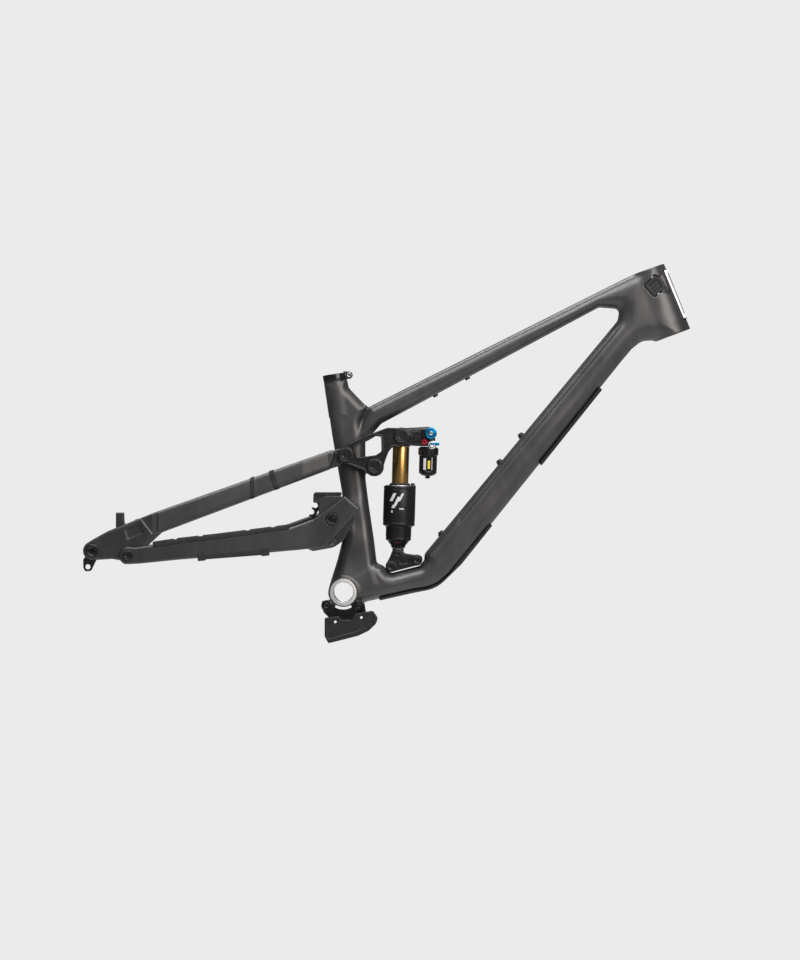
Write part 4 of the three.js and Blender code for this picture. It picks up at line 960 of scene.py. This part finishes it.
def build_pivot_hardware():
    place = across(MAIN_PIVOT)
    star = lobed(10, 0.062)
    cap = turned("pivot_cap", place, [
        (0, -72.4), (10.2, -72.4, star), (10.3, -74.2, star), (9.6, -75, star), (7, -75), (6.4, -74.4),
        (4.6, -74.4), (4, -74.6, hexagon), (4, -72.8, hexagon), (0, -72.8),
    ], 240)
    finish(cap, GLOSS_BLACK, "black_alloy", "main_pivot_cap")
    axle = turned("pivot_axle", place, [
        (0, -70.6), (7.5, -70.6), (7.5, 53.6), (10.5, 53.6), (10.5, 55.9), (9.8, 56.6), (4.6, 56.6),
        (4, 56.2, hexagon), (4, 52, hexagon), (0, 52),
    ])
    finish(axle, STEEL, "steel", "main_pivot_axle")
    place = across(ROCKER_PIVOT)
    head = socket_bolt("rocker_axle_head", place, -42.3, -44.6, 12.6, 4, 1.6, 3)
    piece = joined("rocker_axle_bolt", head, shank("rocker_shank", place, 6.5, -42.4, 42.3))
    finish(piece, BOLT, "black_alloy", "rocker_axle")
    nut = socket_bolt("rocker_nut", place, 42.6, 44.6, 12.6, 4, 1.4, 3)
    finish(nut, BOLT, "black_alloy", "rocker_axle_nut")
    for side, word in ((RIGHT, "right"), (LEFT, "left")):
        for spot, label, radius, tip in ((STAY_PIVOT, "stay", 4, 24), (SHOCK_TOP, "shock", 4.4, 14)):
            place = across(spot)
            head = socket_bolt(f"{label}_head", place, side * 42.3, side * 44.6, 12.4, 4, 1.6, 3)
            rod = shank(f"{label}_shank", place, radius, side * 42.4, side * tip)
            piece = joined(f"{label}_pivot_bolt_{word}", head, rod)
            finish(piece, BOLT, "black_alloy", f"{label}_bolt_{word}")
        place = across(HORST_PIVOT)
        head = socket_bolt("horst_head", place, side * 92.4, side * 94.6, 9, 3.4, 1.8, 1.8)
        rod = shank("horst_shank", place, 4, side * 92.5, side * 75)
        piece = joined(f"horst_pivot_bolt_{word}", head, rod)
        finish(piece, BOLT, "black_alloy", f"horst_bolt_{word}")


def bearing(name, centre, inner, outer, near, far, node):
    """Two races with a sunk seal between them on each face."""
    step = (outer - inner) * 0.3
    profile = [
        (inner, near), (inner + step, near), (inner + step + 0.2, near + 0.5), (outer - step, near + 0.5),
        (outer - step + 0.2, near), (outer, near), (outer, far), (outer - step, far),
        (outer - step - 0.2, far - 0.5), (inner + step, far - 0.5), (inner + step - 0.2, far),
        (inner, far), (inner, near),
    ]
    finish(turned(name, across(centre), profile, ease=0.15), STEEL, "steel", node)


def build_bearings():
    bearing("idler_bearing_ring", MAIN_PIVOT, 7.8, 14, -53.6, -46.4, "idler_bearing")
    bearing("pivot_bearing_right", MAIN_PIVOT, 7.8, 14, -68.6, -60.4, "main_bearing_right")
    bearing("pivot_bearing_left", MAIN_PIVOT, 7.8, 14, 39.4, 49.6, "main_bearing_left")
    bearing("link_bearing_right", ROCKER_PIVOT, 6.8, 11, -41.4, -32.4, "rocker_bearing_right")
    bearing("link_bearing_left", ROCKER_PIVOT, 6.8, 11, 32.4, 41.4, "rocker_bearing_left")


def build_bottom_bracket():
    """The threaded sleeve that the crank's bearing cups screw into."""
    end = 36.5
    thread = []
    for start, way in ((-end, 1), (end, -1)):
        crests = [(17.8, start), (17.2, start + way * 0.6)]
        for turn in range(9):
            crests += [(17.0, start + way * (1.6 + 1.4 * turn)), (17.7, start + way * (2.3 + 1.4 * turn))]
        thread.append(crests + [(18.2, start + way * 15)])
    inner = thread[0] + thread[1][::-1]
    outer = [(22.6, end), (22.6, -end + 1), (23.4, -end + 1), (23.4, -end)]
    profile = inner + outer + [inner[0]]
    piece = turned("bottom_bracket_sleeve", across((0, 0)), profile, 128, ease=0.12)
    finish(piece, SILVER, "silver", "bottom_bracket_shell")


CLAMP_BOLT = (9.6, 378.6)


def build_seat_clamp():
    grid = Grid((-40, -25, 362), (22, 25, 392), 0.55)
    radial, height = grid.along(SEAT_TUBE_TOP, SEAT_LEAN)
    body = common(radial - 20.8, slab(height, 0.6, 12.2), 1.4)
    lug = common(grid.across(CLAMP_BOLT) - 6.2, np.abs(grid.y) - 9, 1.2)
    neck = common(-grid.plan([(-2, 371), (-2, 386), (9, 384.6), (9, 372.6)]), np.abs(grid.y) - 9, 1.2)
    body = union(body, union(lug, neck, 1.5), 1.6)
    ridge = 0.5 * np.exp(-(((height - 2.4) / 0.5) ** 2)) * (radial > 19)
    body = without(body + ridge, radial - 18.1, 0.6)
    body = without(body, np.maximum(np.abs(grid.y) - 0.8, 4 - grid.x), 0.3)
    bolt = grid.across(CLAMP_BOLT)
    body = without(body, bolt - 3.2, 0.4)
    body = without(body, np.maximum(bolt - 4.9, grid.y + 7.6), 0.5)
    finish(field_piece("seat_collar", grid, body), GLOSS_BLACK, "black_alloy", "seat_clamp")
    place = across(CLAMP_BOLT)
    head = socket_bolt("clamp_head", place, -7.8, -11.4, 4.6, 2.2, 2.2)
    piece = joined("seat_collar_bolt", head, shank("clamp_shank", place, 3, -8, 8))
    finish(piece, STEEL, "steel", "seat_clamp_bolt")


def build_head_badge():
    """The curved plate on the head tube's nose: a dark bed, and on it a pale inlay that is a painted
    highlight along the nose's edge.
    """
    grid = Grid((524, -25, 440), (616, 25, 590), 0.7)
    radial, height = grid.along(HEAD_BOTTOM, HEAD_LEAN)
    skin = radial - (31 - 4 * height / HEAD_LENGTH)
    ahead = (HEAD_BOTTOM[0] + (HEAD_TOP[0] - HEAD_BOTTOM[0]) * height / HEAD_LENGTH) - grid.x
    sideways = np.abs(grid.y)
    shape = common(skin - 1.4, sideways - 21.4, 0.8)
    shape = common(shape, slab(height, 19, HEAD_LENGTH - 10), 1.5)
    shape = common(shape, common(-skin - 0.6, ahead, 0.4), 0.4)
    finish(field_piece("head_badge_bed", grid, shape), BLACK, "black_alloy", "head_badge")
    # The pale strip is a painted highlight: the bright line where light catches the head tube's nose.
    highlight_out = common(sideways - 19, slab(height, 21, HEAD_LENGTH - 12), 2)
    highlight_in = common(sideways - 12.2, slab(height, 28, HEAD_LENGTH - 19), 2)
    band = common(skin - 1.9, common(-skin, ahead, 0.4), 0.4)
    shape = common(without(highlight_out, highlight_in, 0.5), band, 0.4)
    finish(field_piece("head_badge_highlight_strip", grid, shape), PAINTED_HIGHLIGHT, "silver", body="front")


PORT_INSET = [(524, 533.4, 3), (541.2, 551, 3), (552.4, 547, 2), (559, 528.6, 2), (541.2, 514.8, 3)]
PORT_WINDOW = [(531, 532, 2), (543, 544.6, 2), (549.6, 542, 2), (555, 529.4, 2), (542.4, 519.6, 2)]


def build_cable_ports():
    """A moulded port on each side of the head: a sloping frame, and a ribbed guide sunk inside it."""
    for side, word in ((RIGHT, "right"), (LEFT, "left")):
        low, high = sorted((side * 22, side * 29))
        grid = Grid((516, low, 508), (566, high, 558), 0.5)
        outer = grid.y * side
        body = common(-grid.plan(PORT_INSET), slab(outer, 23.6, 26.2), 0.8)
        window = grid.plan(PORT_WINDOW)
        body = without(body, np.maximum(-window, 24.5 - outer), 0.5)
        rib = np.abs((grid.x * 0.62 - grid.z * 0.78) % 6 - 3) - 0.8
        body = union(body, common(common(rib, -window, 0.3), slab(outer, 24.2, 25.3), 0.3), 0.2)
        finish(field_piece(f"port_{word}", grid, body), PLASTIC, "plastic", f"cable_port_{word}")


# ---------------------------------------------------------------- chain guide, shock mount

BASH_BOLTS = [(-13.8, -51), (31.5, -43.5)]
BACKPLATE = [
    (-38, -15, 4), *arc((0, 0), 25.6, 208, 330), (36.5, -16, 6), (40, -38, 6), (36, -52, 6), (24, -50, 5),
    (14, -47, 4), (-6, -58, 6), (-20, -60, 6), (-25, -44, 5), (-35, -34, 5),
]
BASH = [
    (-32.4, -44, 3), (-8.8, -40.7, 3), (-2.5, -47, 3), (13.8, -47, 4), (20.7, -36.2, 4), (51.6, -31.5, 5),
    (60.5, -44.7, 8), (56.3, -54.8, 8), (44, -66.4, 10), (26.1, -74.9, 20), (5.3, -80.3), (-25.8, -88.1, 3),
    (-32.4, -75.8, 3),
]
SKID = [
    (-40, -74), (-26, -84), (4, -75.5), (24, -70.5), (40, -62.5), (51, -53), (56, -44), (70, -44),
    (70, -95), (-40, -95),
]
GUIDE_POCKET = [(-16, -40, 4), (16, -38, 4), (10, -44, 3), (-4, -52, 5), (-16, -52, 4)]


def arc_slot(grid, inner, outer, middle, half):
    """A curved slot about the bottom bracket, by angle in degrees."""
    turn = np.degrees(np.arctan2(grid.z, grid.x))
    off = np.abs((turn - middle + 180) % 360 - 180) - half
    radial = grid.across((0, 0))
    return common(slab(radial, inner, outer), np.radians(off) * radial, 1.5)


def build_chain_guide():
    grid = Grid((-44, -41, -64), (46, -31, -4), 0.6)
    body = common(-grid.plan(BACKPLATE), slab(grid.y, -37.6, -34.4), 0.8)
    for spot in GUIDE_BOLTS:
        body = union(body, disc_field(grid, spot, 9.4, -39, -34.4, 0.8), 0.6)
        body = without(body, np.maximum(grid.across(spot) - 6.4, grid.y + 37.9), 0.4)
    body = without(body, arc_slot(grid, 25.6, 29.6, -90, 30), 0.5)
    body = without(body, np.maximum(-grid.plan(GUIDE_POCKET), grid.y + 36.8), 0.5)
    for spot in GUIDE_BOLTS + BASH_BOLTS:
        body = without(body, grid.across(spot) - 2.9, 0.5)
    finish(field_piece("guide_plate", grid, body), GLOSS_BLACK, "black_alloy", "chainguide_backplate")
    grid = Grid((-38, -55, -94), (66, -34, -26), 0.65)
    inside = grid.plan(BASH)
    body = common(-inside, slab(grid.y, -51, -38), 2.2)
    skid = grid.plan(SKID)
    panel = common(common(4 - inside, skid + 3.2, 1), grid.y + 50, 0.5)
    body = without(body, panel, 0.8)
    line = common(np.abs(skid + 9) - 0.5, common(5 - inside, grid.y + 50.4, 0.3), 0.3)
    body = without(body, line, 0.3)
    for spot in BASH_BOLTS:
        body = without(body, np.maximum(grid.across(spot) - 3.6, grid.y + 43), 0.5)
        body = without(body, grid.across(spot) - 2.4, 0.5)
    finish(field_piece("bash_plate", grid, body), PLASTIC, "plastic", "bash_guard")


SHOCK_MOUNT = [
    (84.7, 68, 6), (75, 50, 6), (73.4, 44.6, 5), (78, 36.4, 5), (86, 35.6, 4), (131, 47.2, 5),
    (137.8, 55, 4), (137.4, 61.6, 4), (131, 63.6, 5), (106, 67, 6),
]
MOUNT_POCKET = [(97, 58, 2), (116, 60, 2), (112, 50.5, 2), (98, 48.5, 2)]


def build_shock_mount():
    grid = Grid((68, -24, 30), (144, 24, 84), 0.65)
    inside = grid.plan(SHOCK_MOUNT)
    ears = disc_field(grid, SHOCK_BOTTOM, 11, -20, 20, 1.6)
    body = union(common(-inside, np.abs(grid.y) - 20, 1.6), ears, 4)
    eye = grid.across(SHOCK_BOTTOM)
    gap = np.minimum(eye - 15, np.maximum(np.abs(grid.x - 96) - 17, 65 - grid.z))
    body = without(body, np.maximum(gap, np.abs(grid.y) - 12.8), 1)
    lightening = np.maximum(-grid.plan(MOUNT_POCKET), 18.2 - np.abs(grid.y))
    body = without(body, lightening, 0.8)
    for spot, boss in (*((bolt, 9.4) for bolt in SHOCK_MOUNT_BOLTS), (SHOCK_BOTTOM, 8.4)):
        seat = common(grid.across(spot) - boss, np.abs(np.abs(grid.y) - 19) - 2.4, 0.7)
        body = without(union(body, seat, 0.8), grid.across(spot) - 4.2, 0.5)
    finish(field_piece("shock_cradle", grid, body), BLACK, "black_alloy", "shock_mount")


# ---------------------------------------------------------------- idler

IDLER_TEETH = 18
IDLER_PITCH_RADIUS = 12.7 / (2 * math.sin(math.pi / IDLER_TEETH))


def build_idler():
    tooth = 360 / IDLER_TEETH
    corners = []
    for i in range(IDLER_TEETH):
        start = i * tooth
        seat = polar(MAIN_PIVOT, IDLER_PITCH_RADIUS, start)
        corners += arc(seat, 4.0, start + 115, start + 245, 10)[::-1]
        corners.append(polar(MAIN_PIVOT, IDLER_PITCH_RADIUS + 3.4, start + 0.42 * tooth))
        corners.append(polar(MAIN_PIVOT, IDLER_PITCH_RADIUS + 3.4, start + 0.58 * tooth))
    windows = []
    for i in range(6):
        turn = 60 * i
        outer_edge = arc(MAIN_PIVOT, 27.5, turn + 10, turn + 50, 6)
        inner_edge = arc(MAIN_PIVOT, 20, turn + 44, turn + 16, 5)
        windows.append(rounded([(*spot, 2) for spot in outer_edge + inner_edge], 4))
    wheel = flat("idler_teeth", [corners, *windows], -51.4, -48.6, 0.5)
    hub = turned("idler_hub", across(MAIN_PIVOT), [
        (14.3, -54), (17, -54), (18, -53), (18, -51.6), (20.6, -51.6), (20.6, -48.4), (18, -48.4),
        (18, -47), (17, -46), (14.3, -46), (14.3, -54),
    ])
    finish(joined("idler_sprocket", wheel, hub), BLACK, "black_alloy", "idler_wheel")


SHROUD = [
    (-36, 77, 4), (-14, 80, 5), (0, 90, 6), (11, 110, 20), (22.5, 131, 4), (14, 140, 4), (-2, 168, 6),
    (-30, 168, 4), (-42.5, 160, 4), (-42.5, 120, 8), (-54, 96, 6),
]


def build_idler_shroud():
    """The thin wall inboard of the right stay that keeps the chain on the idler's front half."""
    grid = Grid((-62, -63, 70), (32, -54, 176), 0.6)
    wall = common(-grid.plan(SHROUD), slab(grid.y, -60.6, -56.6), 1)
    wall = without(wall, grid.across(MAIN_PIVOT) - 15, 0.6)
    finish(field_piece("idler_shroud", grid, wall), STAY_CARBON, "carbon", body="chainstay")


IDLER_FACE = [
    (-52.2, 156, 3), (-51.4, 170, 3), (-48.6, 174, 2), (-1, 174, 3), (-6, 165, 4), (-24.7, 154, 4),
]


def build_idler_guard():
    grid = Grid((-56, -62, 150), (3, -40, 178), 0.55)
    inside = grid.plan(IDLER_FACE)
    face = common(-inside, slab(grid.y, -59.7, -56), 1)
    face = without(face, common(common(3.2 - inside, grid.y + 58.9, 0.5), grid.z - 169, 0.5), 0.6)
    roof = common(common(-inside, 169.6 - grid.z, 0.6), slab(grid.y, -57.5, -43), 1.2)
    body = union(face, roof, 1.5)
    finish(field_piece("idler_cover", grid, body), PLASTIC, "plastic", "idler_guard")


# ---------------------------------------------------------------- rear axle and hanger


def build_dropouts():
    centre = REAR_AXLE
    grid = Grid((-454, -80, 34), (-416, -71, 90), 0.5)
    body = common(-grid.plan(HANGER), slab(grid.y, -77.7, -74), 0.7)
    body = without(body, grid.across(centre) - 6.4, 0.4)
    body = without(body, grid.across(HANGER_HOLE) - 4.35, 0.6)
    finish(field_piece("hanger_plate", grid, body), BLACK, "black_alloy", "derailleur_hanger")
    collar = turned("hanger_nut", across(centre), [
        (6.4, -83.3), (11.2, -83.3), (11.2, -84.2), (10.2, -84.9), (8.4, -84.9), (7.4, -84.2),
        (6.4, -84.2), (6.4, -83.3),
    ], ease=0.2)
    finish(collar, BOLT, "black_alloy", "hanger_bolt")
    axle = turned("wheel_axle", across(centre), [
        (0, -79.6), (3.1, -79.6, hexagon), (3.1, -83.2, hexagon), (5.2, -83.4), (6, -82.6), (6, 83.4),
        (9.5, 83.4), (9.5, 87), (8.5, 88), (3.6, 88), (3.1, 87.6, hexagon), (3.1, 84.5, hexagon), (0, 84.5),
    ])
    finish(axle, GLOSS_BLACK, "black_alloy", "rear_axle")


# ---------------------------------------------------------------- rocker link

ROCKER = [
    *arc(STAY_PIVOT, 13.6, 250, 110), (14, 260.4, 20), (48.8, 275.8, 30), (76, 286.4, 14),
    *arc(SHOCK_TOP, 14.6, 95, -80), (84, 252, 8), (78, 244, 8), (73.5, 232), (69.6, 220),
    *arc(ROCKER_PIVOT, 16, 0, -110), (36, 212, 10),
]
ROCKER_WINDOW = [
    (17.6, 252, 4), (45, 266, 8), (56, 272.6, 6), (65.6, 271.4, 4), (66.4, 245, 6), (56, 238.4, 6),
    (24, 234.6, 5),
]


def build_rocker():
    """Two forged and pocketed side plates, joined by a bridge."""
    plates = []
    for side, word in ((RIGHT, "right"), (LEFT, "left")):
        low, high = sorted((side * 29, side * 45))
        grid = Grid((-14, low, 198), (120, high, 290), 0.7)
        outer = grid.y * side
        inside = grid.plan(ROCKER)
        window = grid.plan(ROCKER_WINDOW)
        body = common(common(-inside, slab(outer, 32, 42), 2.2), window, 2.0)
        bosses = np.minimum(grid.across(STAY_PIVOT) - 14, grid.across(ROCKER_PIVOT) - 14)
        bosses = np.minimum(bosses, grid.across(SHOCK_TOP) - 14)
        web = common(common(3.0 - inside, window + 2.6, 1), -bosses, 1)
        body = without(body, common(web, 39.6 - outer, 0.8), 1.2)
        for spot, radius in ((ROCKER_PIVOT, 11.3), (STAY_PIVOT, 5.3), (SHOCK_TOP, 5.3)):
            body = without(body, grid.across(spot) - radius, 0.5)
        plates.append(field_piece(f"rocker_{word}", grid, body))
    bridge = turned("rocker_bridge", across(ROCKER_BRIDGE), [
        (0, -34), (6, -34), (5.4, -24), (5.4, 24), (6, 34), (0, 34),
    ])
    finish(joined("rocker_body", *plates, bridge), BLACK, "black_alloy", "rocker_link")


# ---------------------------------------------------------------- shock

SHOCK = leaning(SHOCK_BOTTOM, SHOCK_LEAN)


def build_shock_can():
    can = turned("can", SHOCK, [
        (0, 10.6), (11.4, 10.6), (12.2, 11.4), (12.2, 14), (19, 23), (22.2, 25), (22.2, 27), (21.6, 27.4),
        (21.6, 28.6), (22.2, 29), (22.2, 46), (24, 48.6), (27.9, 50.5), (27.9, 54), (27.4, 54.4),
        (27.4, 55.6), (27.9, 56), (27.9, 112), (27.3, 112.4), (27.3, 113.2), (27.9, 113.6),
        (27.9, 117), (26.6, 119),
        (20, 119), (19.4, 118.6), (14.9, 118.6), (14.9, 117), (24.4, 117), (24.4, 52), (18, 45), (0, 45),
    ], 128, 0.25)
    finish(can, BLACK, "black_alloy", "air_can")
    ring = turned("can_ring", SHOCK, [
        (19.6, 118.9), (24.6, 118.9), (24.6, 119.9), (19.6, 119.9), (19.6, 118.9),
    ])
    finish(ring, SILVER, "silver", body="shock_can")
    wiper = turned("rod_wiper", SHOCK, [
        (14.9, 119.3), (18.4, 119.3), (18.4, 122), (17.4, 122.6), (17, 123.2), (15.6, 124), (14.9, 123.4),
        (14.9, 119.3),
    ])
    finish(wiper, RUBBER, "rubber", "shaft_wiper")
    knurl = lobed(12, 0.04)
    valve = turned("valve_cap", leaning((SHOCK_BOTTOM[0] + 22.4, SHOCK_BOTTOM[1]), SHOCK_LEAN), [
        (0, 119.6), (3.3, 119.6), (3.3, 120.4, knurl), (3.3, 122.6, knurl), (2.6, 123.8), (0, 123.8),
    ], 96, 0)
    finish(valve, BLACK, "black_alloy", "air_valve")
    boss = turned("valve_boss", leaning((SHOCK_BOTTOM[0] + 23.4, SHOCK_BOTTOM[1]), SHOCK_LEAN), [
        (0, 97), (3.4, 97), (4.5, 99), (4.5, 119.2), (3.9, 119.9), (0, 119.9),
    ], 64)
    finish(boss, BLACK, "black_alloy", body="shock_can")
    grid = Grid((82, -14, 54), (108, 14, 80), 0.5)
    radial, height = grid.along(SHOCK_BOTTOM, SHOCK_LEAN)
    neck = common(radial - 10, slab(height, 0, 10.2), 0.8)
    body = union(disc_field(grid, SHOCK_BOTTOM, 9.6, -12.3, 12.3, 1), neck, 2)
    body = without(body, grid.across(SHOCK_BOTTOM) - 4.4, 0.5)
    finish(field_piece("eyelet_body", grid, body), BLACK, "black_alloy", "shock_eyelet")


def build_shock_shaft():
    shaft = turned("stanchion", SHOCK, [(0, 116.7), (14.5, 116.7), (14.5, 187.4), (0, 187.4)], 128)
    finish(shaft, GOLD, "gold", "shock_shaft")
    piston = turned("piston", SHOCK, [
        (0, 113), (24, 113), (24, 114.2), (23, 114.4), (23, 115.2), (24, 115.4), (24, 116.4), (0, 116.4),
    ])
    finish(piston, SILVER, "silver", "air_piston")
    build_shock_head()
    build_reservoir()
    build_dials()


SHOCK_BRIDGE = [
    (104, 256.6), (104, 286, 2), (150, 288.6, 6), (160, 280, 6), (160, 264, 5), (156, 254.6, 3),
    (128, 254.6, 2),
]


def build_shock_head():
    grid = Grid((82, -30, 250), (166, 30, 294), 0.65)
    radial, height = grid.along(SHOCK_BOTTOM, SHOCK_LEAN)
    eye = grid.across(SHOCK_TOP)
    trunnion = common(eye - 15.8, np.abs(grid.y) - 27, 1.2)
    body = union(trunnion, common(radial - 15.8, slab(height, 187.7, 205), 1), 2)
    bridge = common(-grid.plan(SHOCK_BRIDGE), np.abs(grid.y) - 15, 8)
    flutes = 0.9 * np.abs(np.sin((grid.x - 119) * math.pi / 3.4)) * ((grid.x > 119) & (grid.x < 136))
    bridge = bridge + flutes * (np.abs(grid.y) > 12)
    body = union(body, bridge, 2)
    seat = grid.across(LEVER)
    body = union(body, common(seat - 5.6, slab(grid.y, -17.6, -13), 0.6), 1)
    body = without(body, np.maximum(eye - 11.4, 13 - np.abs(grid.y)), 0.6)
    for spot, radius in ((COMPRESSION_DIAL, 11.2), (REBOUND_DIAL, 5.8)):
        body = without(body, np.maximum(grid.across(spot) - radius, grid.y + 14.6), 0.4)
    finish(field_piece("trunnion_head", grid, body), GLOSS_BLACK, "black_alloy", "shock_head")


def build_reservoir():
    place = leaning(RESERVOIR, SHOCK_LEAN)
    piece = turned("piggyback_can", place, [
        (0, 2), (4, 2), (4, 5.4), (5, 6), (12, 8.4), (15.6, 12), (15.6, 13.4), (15.2, 13.8), (15.2, 14.6),
        (15.6, 15), (15.6, 42), (16.4, 42.6), (17.4, 43.5), (17.4, 46, lobed(24, 0.012)),
        (17.4, 53, lobed(24, 0.012)), (17.4, 55), (13, 57.6), (0, 57.6),
    ], 192, 0.25)
    finish(piece, GLOSS_BLACK, "black_alloy", "shock_reservoir")
    collar = turned("lever_base", across(LEVER), [
        (0, -14), (7.2, -14), (7.2, -17), (6.4, -17.5), (0, -17.5),
    ])
    finish(collar, SILVER, "silver", body="shock_shaft")


LEVER_BLADE = [
    (150.6, 256, 1.5), (152, 260.4, 1.5), (161, 260.6, 1), (167, 261, 1.5), (167.4, 255.4, 2),
    (162, 255.4, 2), (157, 257.6, 1),
]


def build_dials():
    place = across(COMPRESSION_DIAL)
    flutes = lobed(14, 0.035)
    dial = turned("compression_dial", place, [
        (0, -15.3), (9.4, -15.3), (10.3, -16.2, flutes), (10.3, -20.6, flutes), (9.4, -22, flutes),
        (8.2, -22.4), (7.4, -21.6), (5.6, -21.6), (5.2, -23.2), (0, -23.2),
    ], 168, 0.2)
    finish(dial, BLUE, "blue", "compression_knob")
    hub = socket_bolt("compression_hub", place, -23.1, -24.2, 3.8, 2, 0.9)
    finish(hub, STEEL, "silver", body="compression_knob")
    place = across(REBOUND_DIAL)
    ridges = lobed(16, 0.05)
    dial = turned("rebound_dial", place, [
        (0, -15.3), (4.6, -15.3), (5, -15.9, ridges), (5, -20.8, ridges), (4.2, -22.2), (2, -22.2),
        (1.6, -21.8, hexagon), (1.6, -20, hexagon), (0, -20),
    ], 192, 0)
    finish(dial, RED, "red", "rebound_knob")
    place = across(LEVER)
    hub = turned("lever_hub", place, [
        (0, -17.9), (4.6, -17.9), (4.6, -22.2), (3.9, -23), (2.4, -23), (2, -22.6, hexagon),
        (2, -21.4, hexagon), (0, -21.4),
    ])
    finish(hub, SILVER, "silver", body="lockout_lever")
    blade = flat("lever_blade", [rounded(LEVER_BLADE)], -23.5, -19, 0.9, 3)
    finish(blade, BLUE, "blue", "lockout_lever")


def wrapped(name, place, radius, proud, block, material, slot, body):
    """A thin printed block on a round body: (offset, width, low, high, slant), in millimetres."""
    offset, width, low, high, slant = block
    middle = offset / radius - math.pi / 2
    skin = radius + proud
    columns, rows = 14, 10
    points = []
    for t in np.linspace(0, 1, rows):
        for u in np.linspace(-0.5, 0.5, columns):
            angle = middle + (u * width + slant * (t - 0.5)) / skin
            points.append((skin * math.cos(angle), skin * math.sin(angle), low + (high - low) * t))
    index = np.arange(columns * rows).reshape(rows, columns)
    quads = np.stack([index[:-1, :-1], index[:-1, 1:], index[1:, 1:], index[1:, :-1]], -1).reshape(-1, 4)
    mesh = quads_mesh(name, points, quads)
    mesh.transform(Matrix.Scale(MM, 4) @ place)
    smooth(mesh)
    finish(add_object(name, mesh), material, slot, body=body)


CAN_BARS = [
    (-12, 6, 92, 106, 7), (-4.5, 5, 84, 100, 7), (2.5, 4, 92, 106, 7), (-10, 6, 80, 86, 3),
    (4, 8, 78, 80, 0), (-13, 3, 72, 76, 0),
]
RESERVOIR_BARS = [
    ((-6, 5, 17, 37, 0), LABEL), ((1.5, 4, 19, 33, 0), LABEL_WARM), ((7, 1.2, 17, 39, 0), LABEL),
]
PRESSURE_BAR = (-1.7174, 5, 18.4, 20.2, 0)


def build_labels():
    """Plain slanted blocks and bars where the shock carries its printing."""
    for i, block in enumerate(CAN_BARS):
        wrapped(f"can_mark_{i + 1}", SHOCK, 28, 0.02, block, LABEL, "silver", "shock_can")
    place = leaning(RESERVOIR, SHOCK_LEAN)
    for i, (block, material) in enumerate(RESERVOIR_BARS):
        wrapped(f"piggyback_mark_{i + 1}", place, 15.6, 0.12, block, material, "silver", "shock_shaft")
    wrapped("pressure_mark", SHOCK, 16.4, 0, PRESSURE_BAR, RED, "red", "shock_can")


# ---------------------------------------------------------------- stage, light, camera


def build_stage():
    mesh = bpy.data.meshes.new("floor")
    reach = 4.0
    corners = [(x * reach, y * reach, -1.2) for x, y in ((-1, -1), (1, -1), (1, 1), (-1, 1))]
    mesh.from_pydata(corners, [], [(0, 1, 2, 3)])
    floor = add_object("floor", mesh)
    material, _, _ = principled("pale_floor", (0.82, 0.82, 0.82), 0.9)
    mesh.materials.append(material)


def area_light(name, place, aim, size, power, color=(1, 1, 1)):
    light = bpy.data.lights.new(name, "AREA")
    light.shape = "RECTANGLE"
    light.size, light.size_y = size
    light.energy = power
    light.color = color
    lamp = bpy.data.objects.new(name, light)
    lamp.location = place
    lamp.rotation_euler = (Vector(aim) - Vector(place)).to_track_quat("-Z", "Y").to_euler()
    SCENE.collection.objects.link(lamp)


def build_lights():
    world = bpy.data.worlds.new("studio")
    SCENE.world = world
    world.use_nodes = True
    tree = world.node_tree
    background = tree.nodes["Background"]
    background.inputs["Color"].default_value = (0.83, 0.83, 0.83, 1)
    soft = tree.nodes.new("ShaderNodeBackground")
    soft.inputs["Color"].default_value = (0.8, 0.85, 0.9, 1)
    soft.inputs["Strength"].default_value = 0.17
    rays = tree.nodes.new("ShaderNodeLightPath")
    mix = tree.nodes.new("ShaderNodeMixShader")
    tree.links.new(rays.outputs["Is Camera Ray"], mix.inputs["Fac"])
    tree.links.new(soft.outputs["Background"], mix.inputs[1])
    tree.links.new(background.outputs["Background"], mix.inputs[2])
    tree.links.new(mix.outputs["Shader"], tree.nodes["World Output"].inputs["Surface"])
    middle = (0.08, 0, 0.25)
    area_light("overhead", (0.1, -1.2, 2.4), middle, (2.8, 1.5), 105)
    area_light("head_side", (1.9, -3.2, 1.4), (0.5, 0, 0.45), (2.2, 1.8), 100, (1, 0.92, 0.86))
    area_light("top", (0.1, 1.3, 2.7), middle, (2.8, 1.0), 60)


def build_camera():
    camera = bpy.data.cameras.new("camera")
    camera.sensor_fit = "VERTICAL"
    camera.sensor_height = 36
    camera.lens = 141.6
    camera.clip_end = 50
    holder = bpy.data.objects.new("camera", camera)
    holder.location = (0.0985, -6.6, 0.1954)
    holder.rotation_euler = (math.pi / 2, 0, 0)
    SCENE.collection.objects.link(holder)
    SCENE.camera = holder


build_camera()
build_lights()
build_stage()
SCENE.view_settings.view_transform = "Standard"
build_front()
build_front_guards()
build_chainstay()
build_stay_guards()
build_seatstays()
build_hose_clip()
build_straps()
build_front_bolts()
build_bearings()
build_bottom_bracket()
build_seat_clamp()
build_head_badge()
build_cable_ports()
build_chain_guide()
build_shock_mount()
build_idler()
build_idler_guard()
build_idler_shroud()
build_dropouts()
build_rocker()
build_shock_can()
build_shock_shaft()
build_labels()
